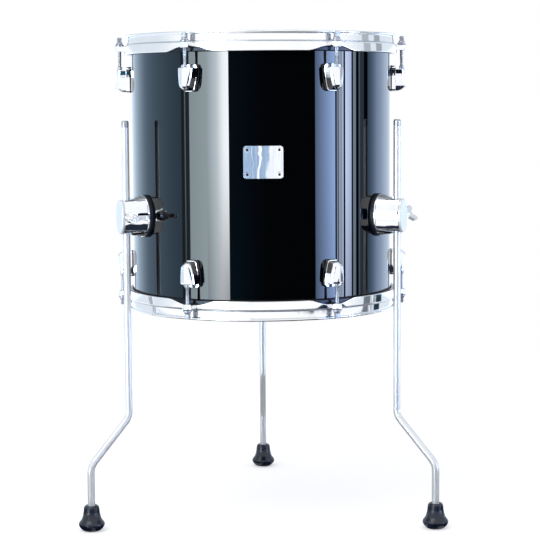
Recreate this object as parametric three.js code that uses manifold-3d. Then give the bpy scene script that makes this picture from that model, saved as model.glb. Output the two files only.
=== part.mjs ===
// A floor tom: a gloss black shell with two tensioned heads, standing on three bent legs.
// Millimetres, +Z up, the front of the drum faces -Y, and the floor is at z = 0.
import * as THREE from 'three';
import { mergeVertices } from 'three/addons/utils/BufferGeometryUtils.js';
import Module from 'manifold-3d';

const wasm = await Module();
wasm.setup();

// Shell
const shellRadius = 177.8;
const shellDepth = 355.6;
const shellWall = 7;
const bearingEdgeWidth = 4.2;
const bearingRoundover = 2.4;
const shellMidHeight = 469.6;

// Gaps and overruns
const fitGap = 0.3;
const cutOverrun = 5;
const fuseDepth = 1;
const mergeTolerance = 0.001;

// Heads and flesh hoops
const filmThickness = 0.5;
const filmCollarDepth = 15;
const fleshHoopWidth = 5;
const fleshHoopHeight = 10;

// Rims
const rimHeight = 26;
const rimMetal = 2;
const rimSkirtHeight = 12.2;
const rimWallInset = 1.5;
const rimLipAboveEdge = 7.5;
const rimLipReach = 3;
const rimLipHeight = 3.2;
const archWidth = 40;
const archRise = 4.5;
const archRound = 12;
const earWidth = 13.4;
const earThickness = 3;
const earNoseDrop = 4.5;
const earNoseThickness = 2.6;

// Tension rods
const rodCount = 6;
const rodFirstAzimuth = 30;
const rodBeyondSkirt = 6.8;
const rodRadius = 2.75;
const rodWasherRadius = 6;
const rodWasherHeight = 2;
const rodCollarRadius = 4.6;
const rodCollarHeight = 3.5;
const rodHeadSquare = 6;
const rodHeadHeight = 6;
const rodReachIntoLug = 20;

// Lugs
const lugPlateTopBelowEdge = 34.5;
const lugPlateHeight = 35.5;
const lugPlateWidth = 28;
const lugPlateThickness = 4.5;
const lugPlateTipWidth = 15;
const lugPlateChamfer = 1.2;
const lugPlateFrontCorner = 3.8;
const lugGasketThickness = 1.2;
const lugBodyHeight = 28;
const lugBodyWidth = 18.5;
const lugBodyTipWidth = 8;
const lugBodyEdge = 3;
const lugBodyFrontCorner = 0.8;
const lugFrontBeyondRod = 7.5;
const lugNeckWall = 0.85;
const lugNeckHeight = 4.5;
const lugHoleSpare = 2;

// Leg brackets
const bracketAzimuths = [-60, 60, 180];
const bracketBelowMiddle = 55.1;
const bracketFlangeSideMargin = 1.5;
const bracketFlangeEndMargin = 2.5;
const bracketFlangeThickness = 4;
const bracketFlangeCorner = 15;
const bracketGasketThickness = 4;
const bracketGasketMargin = 0.8;
const bracketBodyWidth = 36;
const bracketBodyHeight = 50;
const bracketBodyCorner = 15;
const bracketCapSideDraw = 2.5;
const bracketCapEndDraw = 2.75;
const bracketBoreStandOff = 16.8;
const bracketFrontWall = 2.7;
const bracketDome = 7;
const bracketDomeInset = 6;
const bracketBossRadius = 7.5;
const bracketBossLength = 5;

// Bush that the leg slides in
const bushWall = 1.8;
const bushRecess = 5;

// Bolts and plate that hold each bracket
const plateWidth = 28;
const plateEnd = 6;
const plateThickness = 2;
const plateCorner = 6;
const boltRadius = 2.5;
const boltHeadRadius = 5;
const boltHeadHeight = 3.5;
const boltInset = 6;
const boltReach = 7;

// Wing bolts
const wingShankRadius = 3;
const wingHubRadius = 6.5;
const wingHubLength = 9;
const wingLength = 19;
const wingRootHalfWidth = 5.5;
const wingTipHalfWidth = 10.5;
const wingTipWidth = 6;
const wingNotchDepth = 8;
const wingThickness = 5.5;
const wingEdge = 1.2;
const wingRestAngles = [8, 58, 20];

// Legs and feet
const legRadius = 4.9;
const legTopAboveBracket = 126.5;
const legTipHeight = 9;
const legTipRadius = 3.4;
const legUpperBendHeight = 147;
const legLowerBendHeight = 86;
const legKick = 56.9;
const legBendRadius = 22;
const footHeight = 34;
const footWidestRadius = 17.2;
const footWidestHeight = 9.5;
const footBaseRadius = 10.5;
const footNeckRadius = 10.3;
const footNeckHeight = 23;
const footFloor = 8;
const footRound = 1.6;

// Badge and air vent
const badgeWidth = 51.4;
const badgeHeight = 42;
const badgeCorner = 4;
const badgeThickness = 1.3;
const badgeAboveMiddle = 18.4;
const badgeAzimuth = 0.8;
const ventAzimuth = 120;
const ventBoreRadius = 5;
const ventTubeWall = 1.2;
const ventFlangeReach = 3.3;
const ventFlangeThickness = 1.5;

// Facets
const ringFacets = 60;
const rodFacets = 8;
const tubeFacets = 12;
const cornerFacets = 2;
const bendFacets = 4;
const footFacets = 16;
const earFacets = 6;
const ventFacets = 12;

// Levels measured upward from the middle of the shell, the same for both ends of the drum
const edgeLevel = shellDepth / 2;
const lipLevel = edgeLevel + rimLipAboveEdge;
const skirtLevel = lipLevel - rimHeight;
const shelfLevel = skirtLevel + rimSkirtHeight;
const shelfUnderside = shelfLevel - rimMetal;
const fleshHoopTop = shelfUnderside - fitGap;
const lugPlateTop = edgeLevel - lugPlateTopBelowEdge;
const lugPlateBottom = lugPlateTop - lugPlateHeight;
const lugNeckTop = lugPlateTop;
const lugBodyTop = lugNeckTop - lugNeckHeight;
const lugHoleDepth = rodReachIntoLug + lugHoleSpare;
const earTop = shelfLevel;

// Heights that follow the middle of the shell
const bracketHeight = shellMidHeight - bracketBelowMiddle;
const legTopHeight = bracketHeight + legTopAboveBracket;

// Sizes that follow the bracket's body
const bracketFlangeWidth = bracketBodyWidth + 2 * bracketFlangeSideMargin;
const bracketFlangeHeight = bracketBodyHeight + 2 * bracketFlangeEndMargin;
const bracketCapWidth = bracketBodyWidth - 2 * bracketCapSideDraw;
const bracketCapHeight = bracketBodyHeight - 2 * bracketCapEndDraw;
const boltSpacing = bracketBodyHeight - 2 * boltInset;
const plateHeight = boltSpacing + 2 * plateEnd;
const bushHeight = bracketBodyHeight - 2 * bushRecess;

// Radii that follow one another outward from the shell
const shellInnerRadius = shellRadius - shellWall;
const bearingPeakRadius = shellInnerRadius + bearingEdgeWidth;
const filmCollarInner = shellRadius + fitGap;
const filmCollarOuter = filmCollarInner + filmThickness;
const fleshHoopInner = filmCollarOuter + fitGap;
const fleshHoopOuter = fleshHoopInner + fleshHoopWidth;
const rimSkirtInner = fleshHoopOuter + fitGap;
const rimSkirtOuter = rimSkirtInner + rimMetal;
const rimWallInner = fleshHoopInner + rimWallInset;
const rimWallOuter = rimWallInner + rimMetal;
const rodCircleRadius = rimSkirtOuter + rodBeyondSkirt;
const lugSeatRadius = shellRadius + lugGasketThickness + fitGap;
const lugFrontRadius = rodCircleRadius + lugFrontBeyondRod;
const lugNeckRadius = rodRadius + fitGap + lugNeckWall;
const bracketSeatRadius = shellRadius + bracketGasketThickness + 2 * fitGap;
const bushInnerRadius = legRadius + fitGap;
const bushOuterRadius = bushInnerRadius + bushWall;
const bracketBoreRadius = bushOuterRadius + fitGap;
const legAxisRadius = bracketSeatRadius + bracketBoreStandOff + bracketBoreRadius;
const bracketReach = legAxisRadius + bracketBoreRadius + bracketFrontWall;
const legFootRadius = legAxisRadius + legKick;
const ventTubeRadius = ventBoreRadius + ventTubeWall;
const ventFlangeRadius = ventTubeRadius + ventFlangeReach;

// The origin is under the middle of the space that the drum and its feet take up
const frontReach = rimSkirtOuter;
const backReach = legFootRadius + footWidestRadius;
const drumAxisY = (frontReach - backReach) / 2;

const degrees = Math.PI / 180;

function finish(color, roughness, metalness) {
  return new THREE.MeshStandardMaterial({ color, roughness, metalness });
}

function named(name, geometry, material) {
  const mesh = new THREE.Mesh(geometry, material);
  mesh.name = name;
  return mesh;
}

function toSolid(geometry) {
  const bare = geometry.clone();
  bare.deleteAttribute('normal');
  bare.deleteAttribute('uv');
  const merged = mergeVertices(bare, mergeTolerance);
  const vertProperties = new Float32Array(merged.attributes.position.array);
  const corners = merged.index.array;
  const kept = [];
  for (let index = 0; index < corners.length; index += 3) {
    const [a, b, c] = corners.slice(index, index + 3);
    if (a !== b && b !== c && c !== a) {
      kept.push(a, b, c);
    }
  }
  const triVerts = new Uint32Array(kept);
  return new wasm.Manifold(new wasm.Mesh({ numProp: 3, vertProperties, triVerts }));
}

function toGeometry(solid) {
  const mesh = solid.getMesh();
  const geometry = new THREE.BufferGeometry();
  geometry.setAttribute('position', new THREE.BufferAttribute(mesh.vertProperties, 3));
  geometry.setIndex(new THREE.BufferAttribute(mesh.triVerts, 1));
  geometry.computeVertexNormals();
  return geometry;
}

function fused(...geometries) {
  return geometries.map(toSolid).reduce((sum, solid) => sum.add(solid));
}

// A ring or turned piece from points of radius and height
function turned(points, facets = ringFacets) {
  const closed = [...points];
  if (points[0][0] > 0) {
    closed.push(points[0]);
  }
  const profile = closed.map(([radius, height]) => new THREE.Vector2(radius, height));
  return new THREE.LatheGeometry(profile, facets).rotateX(Math.PI / 2);
}

function rod(radius, bottom, top, facets = rodFacets) {
  const geometry = new THREE.CylinderGeometry(radius, radius, top - bottom, facets);
  geometry.rotateX(Math.PI / 2);
  geometry.translate(0, 0, (top + bottom) / 2);
  return geometry;
}

// A hole for a shaft that turns in it, wide enough for the hole's flats to clear the shaft
function boreFor(shaftRadius, bottom, top, facets = rodFacets) {
  return rod((shaftRadius + fitGap) / Math.cos(Math.PI / facets), bottom, top, facets);
}

// A round bar that points outward from the drum, between two radii
function spoke(radius, inner, outer, facets = rodFacets) {
  const geometry = rod(radius, inner, outer, facets);
  geometry.rotateX(Math.PI / 2);
  return geometry;
}

function roundedOutline(width, height, corner) {
  const w = width / 2;
  const h = height / 2;
  const shape = new THREE.Shape();
  shape.moveTo(w, h - corner);
  shape.absarc(w - corner, h - corner, corner, 0, Math.PI / 2, false);
  shape.absarc(corner - w, h - corner, corner, Math.PI / 2, Math.PI, false);
  shape.absarc(corner - w, corner - h, corner, Math.PI, Math.PI * 1.5, false);
  shape.absarc(w - corner, corner - h, corner, Math.PI * 1.5, Math.PI * 2, false);
  return shape;
}

// A shield: flat top with small corners, sides that draw in, and a rounded foot
function shieldOutline(width, footWidth, height, corner) {
  const w = width / 2;
  const f = footWidth / 2;
  const shape = new THREE.Shape();
  shape.moveTo(f, -height);
  shape.bezierCurveTo((w + f) / 2, -height, w, -height / 2, w, -corner);
  shape.quadraticCurveTo(w, 0, w - corner, 0);
  shape.lineTo(corner - w, 0);
  shape.quadraticCurveTo(-w, 0, -w, -corner);
  shape.bezierCurveTo(-w, -height / 2, -(w + f) / 2, -height, -f, -height);
  return shape;
}

// Stands an outline upright, facing outward, from one radius to another with a bevelled outer edge
function facing(shape, inner, outer, bevelDepth, bevelInset, bevelSegments = 2) {
  const geometry = new THREE.ExtrudeGeometry(shape, {
    depth: outer - inner - bevelDepth,
    steps: 1,
    curveSegments: cornerFacets,
    bevelEnabled: bevelDepth > 0,
    bevelThickness: bevelDepth,
    bevelSize: bevelInset,
    bevelOffset: -bevelInset,
    bevelSegments,
  });
  geometry.rotateX(Math.PI / 2);
  geometry.translate(0, -inner, 0);
  return geometry;
}

// Narrows a piece outward, from full size at one radius to the given shares of it at another
function drawIn(geometry, inner, outer, widthRatio, heightRatio) {
  const position = geometry.attributes.position;
  for (let index = 0; index < position.count; index += 1) {
    const along = (-position.getY(index) - inner) / (outer - inner);
    position.setX(index, position.getX(index) * (1 + (widthRatio - 1) * along));
    position.setZ(index, position.getZ(index) * (1 + (heightRatio - 1) * along));
  }
  return geometry;
}

function tube(inner, outer, bottom, top) {
  return turned([[inner, bottom], [outer, bottom], [outer, top], [inner, top]]);
}

// Keeps only what lies between two radii about the drum's axis
function curvedSheet(geometry, inner, outer, halfHeight) {
  const sheet = tube(inner, outer, -halfHeight - cutOverrun, halfHeight + cutOverrun);
  return toSolid(geometry).intersect(toSolid(sheet));
}

// Clears everything inside a radius about the drum's axis
function seatedOn(solid, radius, bottom, top) {
  return solid.subtract(toSolid(rod(radius, bottom - cutOverrun, top + cutOverrun, ringFacets)));
}

const lacquer = finish(0x050507, 0.06, 0);
const chrome = finish(0xd9dce2, 0.08, 1);
const brushed = finish(0xb9bcc2, 0.35, 1);
const rubber = finish(0x15171b, 0.55, 0);
const nylon = finish(0x1b1c1f, 0.5, 0);
const coating = finish(0xf0efe9, 0.75, 0);
const clearFilm = finish(0xdfe4e6, 0.15, 0);
const aluminium = finish(0xb4b7bb, 0.3, 1);

function vesselShell() {
  const outerStart = edgeLevel - bearingRoundover;
  const innerStart = edgeLevel - bearingEdgeWidth;
  let solid = toSolid(turned([
    [shellInnerRadius, -innerStart],
    [bearingPeakRadius, -edgeLevel],
    [shellRadius, -outerStart],
    [shellRadius, outerStart],
    [bearingPeakRadius, edgeLevel],
    [shellInnerRadius, innerStart],
  ]));
  for (const azimuth of bracketAzimuths) {
    for (const side of [-1, 1]) {
      const hole = spoke(boltRadius + fitGap, shellInnerRadius - cutOverrun, shellRadius + cutOverrun);
      hole.translate(0, 0, side * boltSpacing / 2 - bracketBelowMiddle);
      hole.rotateZ(azimuth * degrees);
      solid = solid.subtract(toSolid(hole));
    }
  }
  const vent = spoke(ventTubeRadius + fitGap, shellInnerRadius - cutOverrun, shellRadius + cutOverrun, ventFacets);
  vent.rotateZ(ventAzimuth * degrees);
  return toGeometry(solid.subtract(toSolid(vent)));
}

function head() {
  const under = edgeLevel + fitGap;
  const top = under + filmThickness;
  const collarEnd = top - filmCollarDepth;
  return turned([
    [0, under],
    [bearingPeakRadius, under],
    [filmCollarInner, under - bearingRoundover],
    [filmCollarInner, collarEnd],
    [filmCollarOuter, collarEnd],
    [filmCollarOuter, top - bearingRoundover],
    [bearingPeakRadius, top],
    [0, top],
  ]);
}

function fleshHoop() {
  const bottom = fleshHoopTop - fleshHoopHeight;
  return turned([
    [fleshHoopInner, bottom],
    [fleshHoopOuter, bottom],
    [fleshHoopOuter, fleshHoopTop],
    [fleshHoopInner, fleshHoopTop],
  ]);
}

// The ear that a tension rod pulls on: a tongue with a nose turned down at its end
function ear() {
  const root = rimSkirtInner + fuseDepth;
  const nose = earWidth / 2;
  const tongue = new THREE.Shape();
  tongue.moveTo(-nose, -root);
  tongue.lineTo(-nose, -rodCircleRadius);
  tongue.absarc(0, -rodCircleRadius, nose, Math.PI, 2 * Math.PI, false);
  tongue.lineTo(nose, -root);
  const plate = new THREE.ExtrudeGeometry(tongue, {
    depth: earThickness, bevelEnabled: false, curveSegments: earFacets,
  });
  plate.translate(0, 0, earTop - earThickness);
  const apron = new THREE.ExtrudeGeometry(tongue, {
    depth: earThickness + earNoseDrop, bevelEnabled: false, curveSegments: earFacets,
  });
  apron.translate(0, 0, earTop - earThickness - earNoseDrop);
  const hollow = rod(nose - earNoseThickness, earTop - earThickness - earNoseDrop - cutOverrun, earTop - earThickness);
  hollow.translate(0, -rodCircleRadius, 0);
  const hole = boreFor(rodRadius, earTop - rimHeight, earTop + cutOverrun);
  hole.translate(0, -rodCircleRadius, 0);
  return toSolid(apron).subtract(toSolid(hollow)).add(toSolid(plate)).subtract(toSolid(hole));
}

// Takes the middle of the skirt away below each ear, with slanting shoulders
function arch() {
  const w = archWidth / 2;
  const shape = new THREE.Shape();
  shape.moveTo(-w - cutOverrun, -cutOverrun);
  shape.lineTo(w + cutOverrun, -cutOverrun);
  shape.lineTo(w, 0);
  shape.quadraticCurveTo(w - archRound / 2, archRise, w - archRound, archRise);
  shape.lineTo(archRound - w, archRise);
  shape.quadraticCurveTo(archRound / 2 - w, archRise, -w, 0);
  const cutter = facing(shape, rimWallInner, rimSkirtOuter + cutOverrun, 0, 0);
  cutter.translate(0, 0, skirtLevel);
  return cutter;
}

function rim() {
  const lipBottom = lipLevel - rimLipHeight;
  const lipOuter = rimWallOuter + rimLipReach;
  const lipRound = rimLipHeight / 4;
  let solid = toSolid(turned([
    [rimWallInner, shelfUnderside],
    [rimSkirtInner, shelfUnderside],
    [rimSkirtInner, skirtLevel],
    [rimSkirtOuter, skirtLevel],
    [rimSkirtOuter, shelfLevel],
    [rimWallOuter, shelfLevel],
    [rimWallOuter, lipBottom],
    [lipOuter, lipBottom + lipRound],
    [lipOuter - lipRound, lipLevel],
    [rimWallInner, lipLevel],
  ]));
  for (let index = 0; index < rodCount; index += 1) {
    const turn = (rodFirstAzimuth + index * 360 / rodCount) * degrees;
    const cutter = arch().rotateZ(turn);
    const tongue = toGeometry(ear()).rotateZ(turn);
    solid = solid.subtract(toSolid(cutter)).add(toSolid(tongue));
  }
  return toGeometry(solid);
}

function tensionRod() {
  const washerBottom = earTop + fitGap;
  const collarBottom = washerBottom + rodWasherHeight;
  const squareBottom = collarBottom + rodCollarHeight;
  const shankEnd = lugBodyTop - rodReachIntoLug;
  const body = turned([
    [0, shankEnd],
    [rodRadius, shankEnd],
    [rodRadius, washerBottom],
    [rodWasherRadius, washerBottom],
    [rodWasherRadius, collarBottom],
    [rodCollarRadius, collarBottom],
    [rodCollarRadius, squareBottom],
    [0, squareBottom],
  ], rodFacets);
  const square = rod(rodHeadSquare / Math.SQRT2, squareBottom - fuseDepth, squareBottom + rodHeadHeight, 4);
  return toGeometry(fused(body, square));
}

function lug() {
  const plateCorner = lugPlateChamfer + lugPlateFrontCorner;
  const plateShape = shieldOutline(lugPlateWidth, lugPlateTipWidth, lugPlateHeight, plateCorner);
  const plate = facing(
    plateShape, shellInnerRadius, lugSeatRadius + lugPlateThickness, lugPlateChamfer, lugPlateChamfer, 1);
  plate.translate(0, 0, lugPlateTop);
  const bodyCorner = lugBodyEdge + lugBodyFrontCorner;
  const bodyShape = shieldOutline(lugBodyWidth, lugBodyTipWidth, lugBodyHeight, bodyCorner);
  const body = facing(bodyShape, lugSeatRadius, lugFrontRadius, lugBodyEdge, lugBodyEdge, 2);
  body.translate(0, 0, lugBodyTop);
  const neck = rod(lugNeckRadius, lugBodyTop - fuseDepth, lugNeckTop);
  neck.translate(0, -rodCircleRadius, 0);
  const hole = boreFor(rodRadius, lugBodyTop - lugHoleDepth, lugNeckTop + cutOverrun);
  hole.translate(0, -rodCircleRadius, 0);
  const solid = fused(plate, body, neck).subtract(toSolid(hole));
  return toGeometry(seatedOn(solid, lugSeatRadius, lugPlateBottom, lugPlateTop));
}

// Places of the two bolts that hold a bracket, outward through shell, gasket and flange
function boltPair(radius, inner, outer) {
  const lower = spoke(radius, inner, outer).translate(0, 0, -boltSpacing / 2);
  const upper = spoke(radius, inner, outer).translate(0, 0, boltSpacing / 2);
  return toSolid(lower).add(toSolid(upper));
}

function bracket() {
  const flangeOuter = bracketSeatRadius + bracketFlangeThickness;
  const flangeShape = roundedOutline(bracketFlangeWidth, bracketFlangeHeight, bracketFlangeCorner);
  const flange = facing(flangeShape, shellInnerRadius, flangeOuter, fuseDepth, fuseDepth, 1);
  const bodyShape = roundedOutline(bracketBodyWidth, bracketBodyHeight, bracketBodyCorner);
  const body = facing(bodyShape, bracketSeatRadius, bracketReach, bracketDome, bracketDomeInset, 3);
  const widthRatio = bracketCapWidth / bracketBodyWidth;
  const heightRatio = bracketCapHeight / bracketBodyHeight;
  drawIn(body, flangeOuter, bracketReach - bracketDome, widthRatio, heightRatio);
  const bossEnd = bracketBodyWidth / 2 + bracketBossLength;
  const boss = rod(bracketBossRadius, bushOuterRadius, bossEnd).rotateY(Math.PI / 2).translate(0, -legAxisRadius, 0);
  const bore = boreFor(bushOuterRadius, -bracketFlangeHeight, bracketFlangeHeight, tubeFacets);
  bore.translate(0, -legAxisRadius, 0);
  const boltHole = boreFor(wingShankRadius, 0, bossEnd + cutOverrun);
  boltHole.rotateY(Math.PI / 2).translate(0, -legAxisRadius, 0);
  const screws = boltPair(boltRadius + fitGap, shellInnerRadius, bracketSeatRadius + boltReach + fitGap);
  const solid = fused(flange, body, boss).subtract(toSolid(bore)).subtract(toSolid(boltHole)).subtract(screws);
  return toGeometry(seatedOn(solid, bracketSeatRadius, -bracketFlangeHeight, bracketFlangeHeight));
}

function bracketGasket() {
  const margin = 2 * bracketGasketMargin;
  const outline = roundedOutline(
    bracketFlangeWidth + margin, bracketFlangeHeight + margin, bracketFlangeCorner + bracketGasketMargin);
  const block = facing(outline, shellInnerRadius, bracketSeatRadius + cutOverrun, 0, 0);
  const inner = shellRadius + fitGap;
  const sheet = curvedSheet(block, inner, inner + bracketGasketThickness, bracketFlangeHeight);
  return toGeometry(sheet.subtract(boltPair(boltRadius + fitGap, shellInnerRadius, bracketReach)));
}

function boltPlate() {
  const outer = shellInnerRadius - fitGap;
  const inner = outer - plateThickness;
  const block = facing(roundedOutline(plateWidth, plateHeight, plateCorner), inner - cutOverrun, shellRadius, 0, 0);
  const sheet = curvedSheet(block, inner, outer, plateHeight);
  const headInner = inner - boltHeadHeight;
  const heads = boltPair(boltHeadRadius, headInner, inner + fuseDepth);
  const shanks = boltPair(boltRadius, headInner, bracketSeatRadius + boltReach);
  return toGeometry(sheet.add(heads).add(shanks));
}

function legBush() {
  const half = bushHeight / 2;
  return turned([
    [bushInnerRadius, -half], [bushOuterRadius, -half], [bushOuterRadius, half], [bushInnerRadius, half],
  ], tubeFacets);
}

// A wing bolt along +X from the bush: shank, hub, and two wings with a notch between them
function wingBolt() {
  const shankEnd = bushOuterRadius + fitGap;
  const hubStart = bracketBodyWidth / 2 + bracketBossLength + fitGap;
  const hubEnd = hubStart + wingHubLength;
  const wingEnd = hubEnd + wingLength;
  const shank = rod(wingShankRadius, shankEnd, hubStart + fuseDepth).rotateY(Math.PI / 2);
  const hub = rod(wingHubRadius, hubStart, hubEnd).rotateY(Math.PI / 2);
  const shape = new THREE.Shape();
  shape.moveTo(hubStart + fuseDepth, -wingRootHalfWidth);
  shape.quadraticCurveTo(hubEnd, -wingRootHalfWidth, wingEnd - wingTipWidth, -wingTipHalfWidth);
  shape.lineTo(wingEnd, -wingTipHalfWidth + wingTipWidth / 2);
  shape.quadraticCurveTo(wingEnd - wingNotchDepth, -wingRootHalfWidth / 2, wingEnd - wingNotchDepth, 0);
  shape.quadraticCurveTo(wingEnd - wingNotchDepth, wingRootHalfWidth / 2, wingEnd, wingTipHalfWidth - wingTipWidth / 2);
  shape.lineTo(wingEnd - wingTipWidth, wingTipHalfWidth);
  shape.quadraticCurveTo(hubEnd, wingRootHalfWidth, hubStart + fuseDepth, wingRootHalfWidth);
  const wings = new THREE.ExtrudeGeometry(shape, {
    depth: wingThickness - 2 * wingEdge,
    curveSegments: cornerFacets,
    bevelThickness: wingEdge,
    bevelSize: wingEdge,
    bevelOffset: -wingEdge,
    bevelSegments: 1,
  });
  wings.translate(0, 0, wingEdge - wingThickness / 2);
  return toGeometry(fused(shank, hub, wings));
}

// A path given as stations, so a straight run costs one step and a bend gets several
class StationPath extends THREE.Curve {
  constructor(stations) {
    super();
    this.stations = stations;
  }

  getPoint(t) {
    const last = this.stations.length - 1;
    return this.stations[Math.round(t * last)].clone();
  }

  getPointAt(u) {
    return this.getPoint(u);
  }

  getTangent(t) {
    const last = this.stations.length - 1;
    const index = Math.round(t * last);
    const before = this.stations[Math.max(index - 1, 0)];
    const after = this.stations[Math.min(index + 1, last)];
    return after.clone().sub(before).normalize();
  }

  getTangentAt(u) {
    return this.getTangent(u);
  }
}

// The corner of a bent rod: stations on an arc that touches both straight runs
function bend(before, corner, after, radius) {
  const incoming = before.clone().sub(corner).normalize();
  const outgoing = after.clone().sub(corner).normalize();
  const half = incoming.angleTo(outgoing) / 2;
  const centre = incoming.clone().add(outgoing).normalize().multiplyScalar(radius / Math.sin(half)).add(corner);
  const from = incoming.multiplyScalar(radius / Math.tan(half)).add(corner).sub(centre);
  const to = outgoing.multiplyScalar(radius / Math.tan(half)).add(corner).sub(centre);
  const turn = new THREE.Quaternion().setFromUnitVectors(from.clone().normalize(), to.clone().normalize());
  const stations = [];
  for (let index = 0; index <= bendFacets; index += 1) {
    const part = new THREE.Quaternion().slerp(turn, index / bendFacets);
    stations.push(from.clone().applyQuaternion(part).add(centre));
  }
  return stations;
}

// A leg in its own place: the origin on its sliding axis, at floor level
function leg() {
  const tipStart = legTopHeight - legTipHeight;
  const top = new THREE.Vector3(0, 0, tipStart);
  const upper = new THREE.Vector3(0, 0, legUpperBendHeight);
  const lower = new THREE.Vector3(0, -legKick, legLowerBendHeight);
  const end = new THREE.Vector3(0, -legKick, footFloor + fitGap);
  const stations = [
    top,
    ...bend(top, upper, lower, legBendRadius),
    ...bend(upper, lower, end, legBendRadius),
    end,
  ];
  const section = new THREE.Shape().absarc(0, 0, legRadius, 0, 2 * Math.PI, false);
  const bar = new THREE.ExtrudeGeometry(section, {
    steps: stations.length - 1, curveSegments: tubeFacets / 2, bevelEnabled: false, extrudePath: new StationPath(stations),
  });
  const tip = turned([
    [0, tipStart - fuseDepth],
    [legTipRadius, tipStart - fuseDepth],
    [legTipRadius, legTopHeight - legTipRadius / 2],
    [legTipRadius / 2, legTopHeight],
    [0, legTopHeight],
  ], tubeFacets);
  return toGeometry(fused(bar, tip));
}

function foot() {
  const shoulder = (footWidestHeight + footNeckHeight) / 2;
  return turned([
    [0, 0],
    [footBaseRadius, 0],
    [(footBaseRadius + 2 * footWidestRadius) / 3, footWidestHeight / 4],
    [footWidestRadius, footWidestHeight],
    [footWidestRadius - footRound, shoulder - footRound],
    [(footWidestRadius + footNeckRadius) / 2, shoulder + footRound],
    [footNeckRadius, footNeckHeight],
    [footNeckRadius, footHeight - footRound],
    [footNeckRadius - footRound, footHeight],
    [legRadius + fitGap, footHeight],
    [legRadius + fitGap, footFloor],
    [0, footFloor],
  ], footFacets);
}

function badge() {
  const inner = shellRadius + fitGap;
  const block = facing(roundedOutline(badgeWidth, badgeHeight, badgeCorner), shellInnerRadius, inner + cutOverrun, 0, 0);
  return toGeometry(curvedSheet(block, inner, inner + badgeThickness, badgeHeight));
}

// The lining of the air hole: a tube with a flange outside and a rolled edge inside
function ventGrommet() {
  const insideEnd = -shellWall - ventFlangeThickness - fitGap;
  const geometry = turned([
    [ventBoreRadius, insideEnd],
    [ventTubeRadius, insideEnd],
    [ventTubeRadius, ventFlangeThickness],
    [ventFlangeRadius, ventFlangeThickness],
    [ventFlangeRadius - ventFlangeThickness, 2 * ventFlangeThickness],
    [ventBoreRadius, 2 * ventFlangeThickness],
  ], ventFacets);
  geometry.rotateX(Math.PI / 2);
  geometry.translate(0, -shellRadius, 0);
  return geometry;
}

function turnedTo(azimuth, ...meshes) {
  const holder = new THREE.Group();
  holder.rotation.z = azimuth * degrees;
  holder.add(...meshes);
  return holder;
}

// One end of the drum, the same for both heads
function drumEnd(side, filmMaterial) {
  const end = new THREE.Group();
  end.add(named(`${side}_head`, head(), filmMaterial));
  end.add(named(`${side}_flesh_hoop`, fleshHoop(), aluminium));
  end.add(named(`${side}_rim`, rim(), chrome));
  const lugGeometry = lug();
  const rodGeometry = tensionRod();
  for (let index = 0; index < rodCount; index += 1) {
    const tension = named(`${side}_tension_rod_${index + 1}`, rodGeometry, chrome);
    tension.position.set(0, -rodCircleRadius, 0);
    const casting = named(`${side}_lug_${index + 1}`, lugGeometry, chrome);
    end.add(turnedTo(rodFirstAzimuth + index * 360 / rodCount, tension, casting));
  }
  return end;
}

function legStation(index) {
  const name = ['left', 'right', 'back'][index];
  const station = new THREE.Group();
  const fittings = new THREE.Group();
  fittings.position.z = bracketHeight;
  fittings.add(named(`${name}_leg_bracket`, bracket(), chrome));
  fittings.add(named(`${name}_bracket_gasket`, bracketGasket(), rubber));
  fittings.add(named(`${name}_bracket_bolt_plate`, boltPlate(), brushed));
  const bush = named(`${name}_leg_bush`, legBush(), nylon);
  bush.position.set(0, -legAxisRadius, 0);
  const bolt = named(`${name}_wing_bolt`, wingBolt(), chrome);
  bolt.position.set(0, -legAxisRadius, 0);
  bolt.rotation.x = wingRestAngles[index] * degrees;
  fittings.add(bush, bolt);
  const bar = named(`${name}_leg`, leg(), chrome);
  bar.position.set(0, -legAxisRadius, 0);
  const pad = named(`${name}_foot`, foot(), rubber);
  pad.position.set(0, -legFootRadius, 0);
  station.add(fittings, bar, pad);
  station.rotation.z = bracketAzimuths[index] * degrees;
  return station;
}

const group = new THREE.Group();
const drum = new THREE.Group();
drum.position.set(0, drumAxisY, shellMidHeight);
drum.add(named('shell', vesselShell(), lacquer));
drum.add(drumEnd('batter', coating));
const lowerEnd = drumEnd('resonant', clearFilm);
lowerEnd.rotation.x = Math.PI;
drum.add(lowerEnd);
const badgePlate = named('badge', badge(), brushed);
badgePlate.position.z = badgeAboveMiddle;
drum.add(turnedTo(badgeAzimuth, badgePlate));
drum.add(turnedTo(ventAzimuth, named('air_vent_grommet', ventGrommet(), chrome)));
group.add(drum);
for (let index = 0; index < bracketAzimuths.length; index += 1) {
  const station = legStation(index);
  station.position.y = drumAxisY;
  group.add(station);
}

export default group;
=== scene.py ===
"""A floor tom: gloss black shell, two heads under chrome rims, three bent legs, in a white studio.

Sizes are in millimetres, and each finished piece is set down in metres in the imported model's frame.
"""

import logging
import math
from dataclasses import dataclass, field
from enum import Enum
from typing import Callable, Optional, Sequence, Union

import bmesh
import bpy
from bmesh.types import BMEdge, BMesh, BMFace, BMVert
from mathutils import Matrix, Vector

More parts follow.
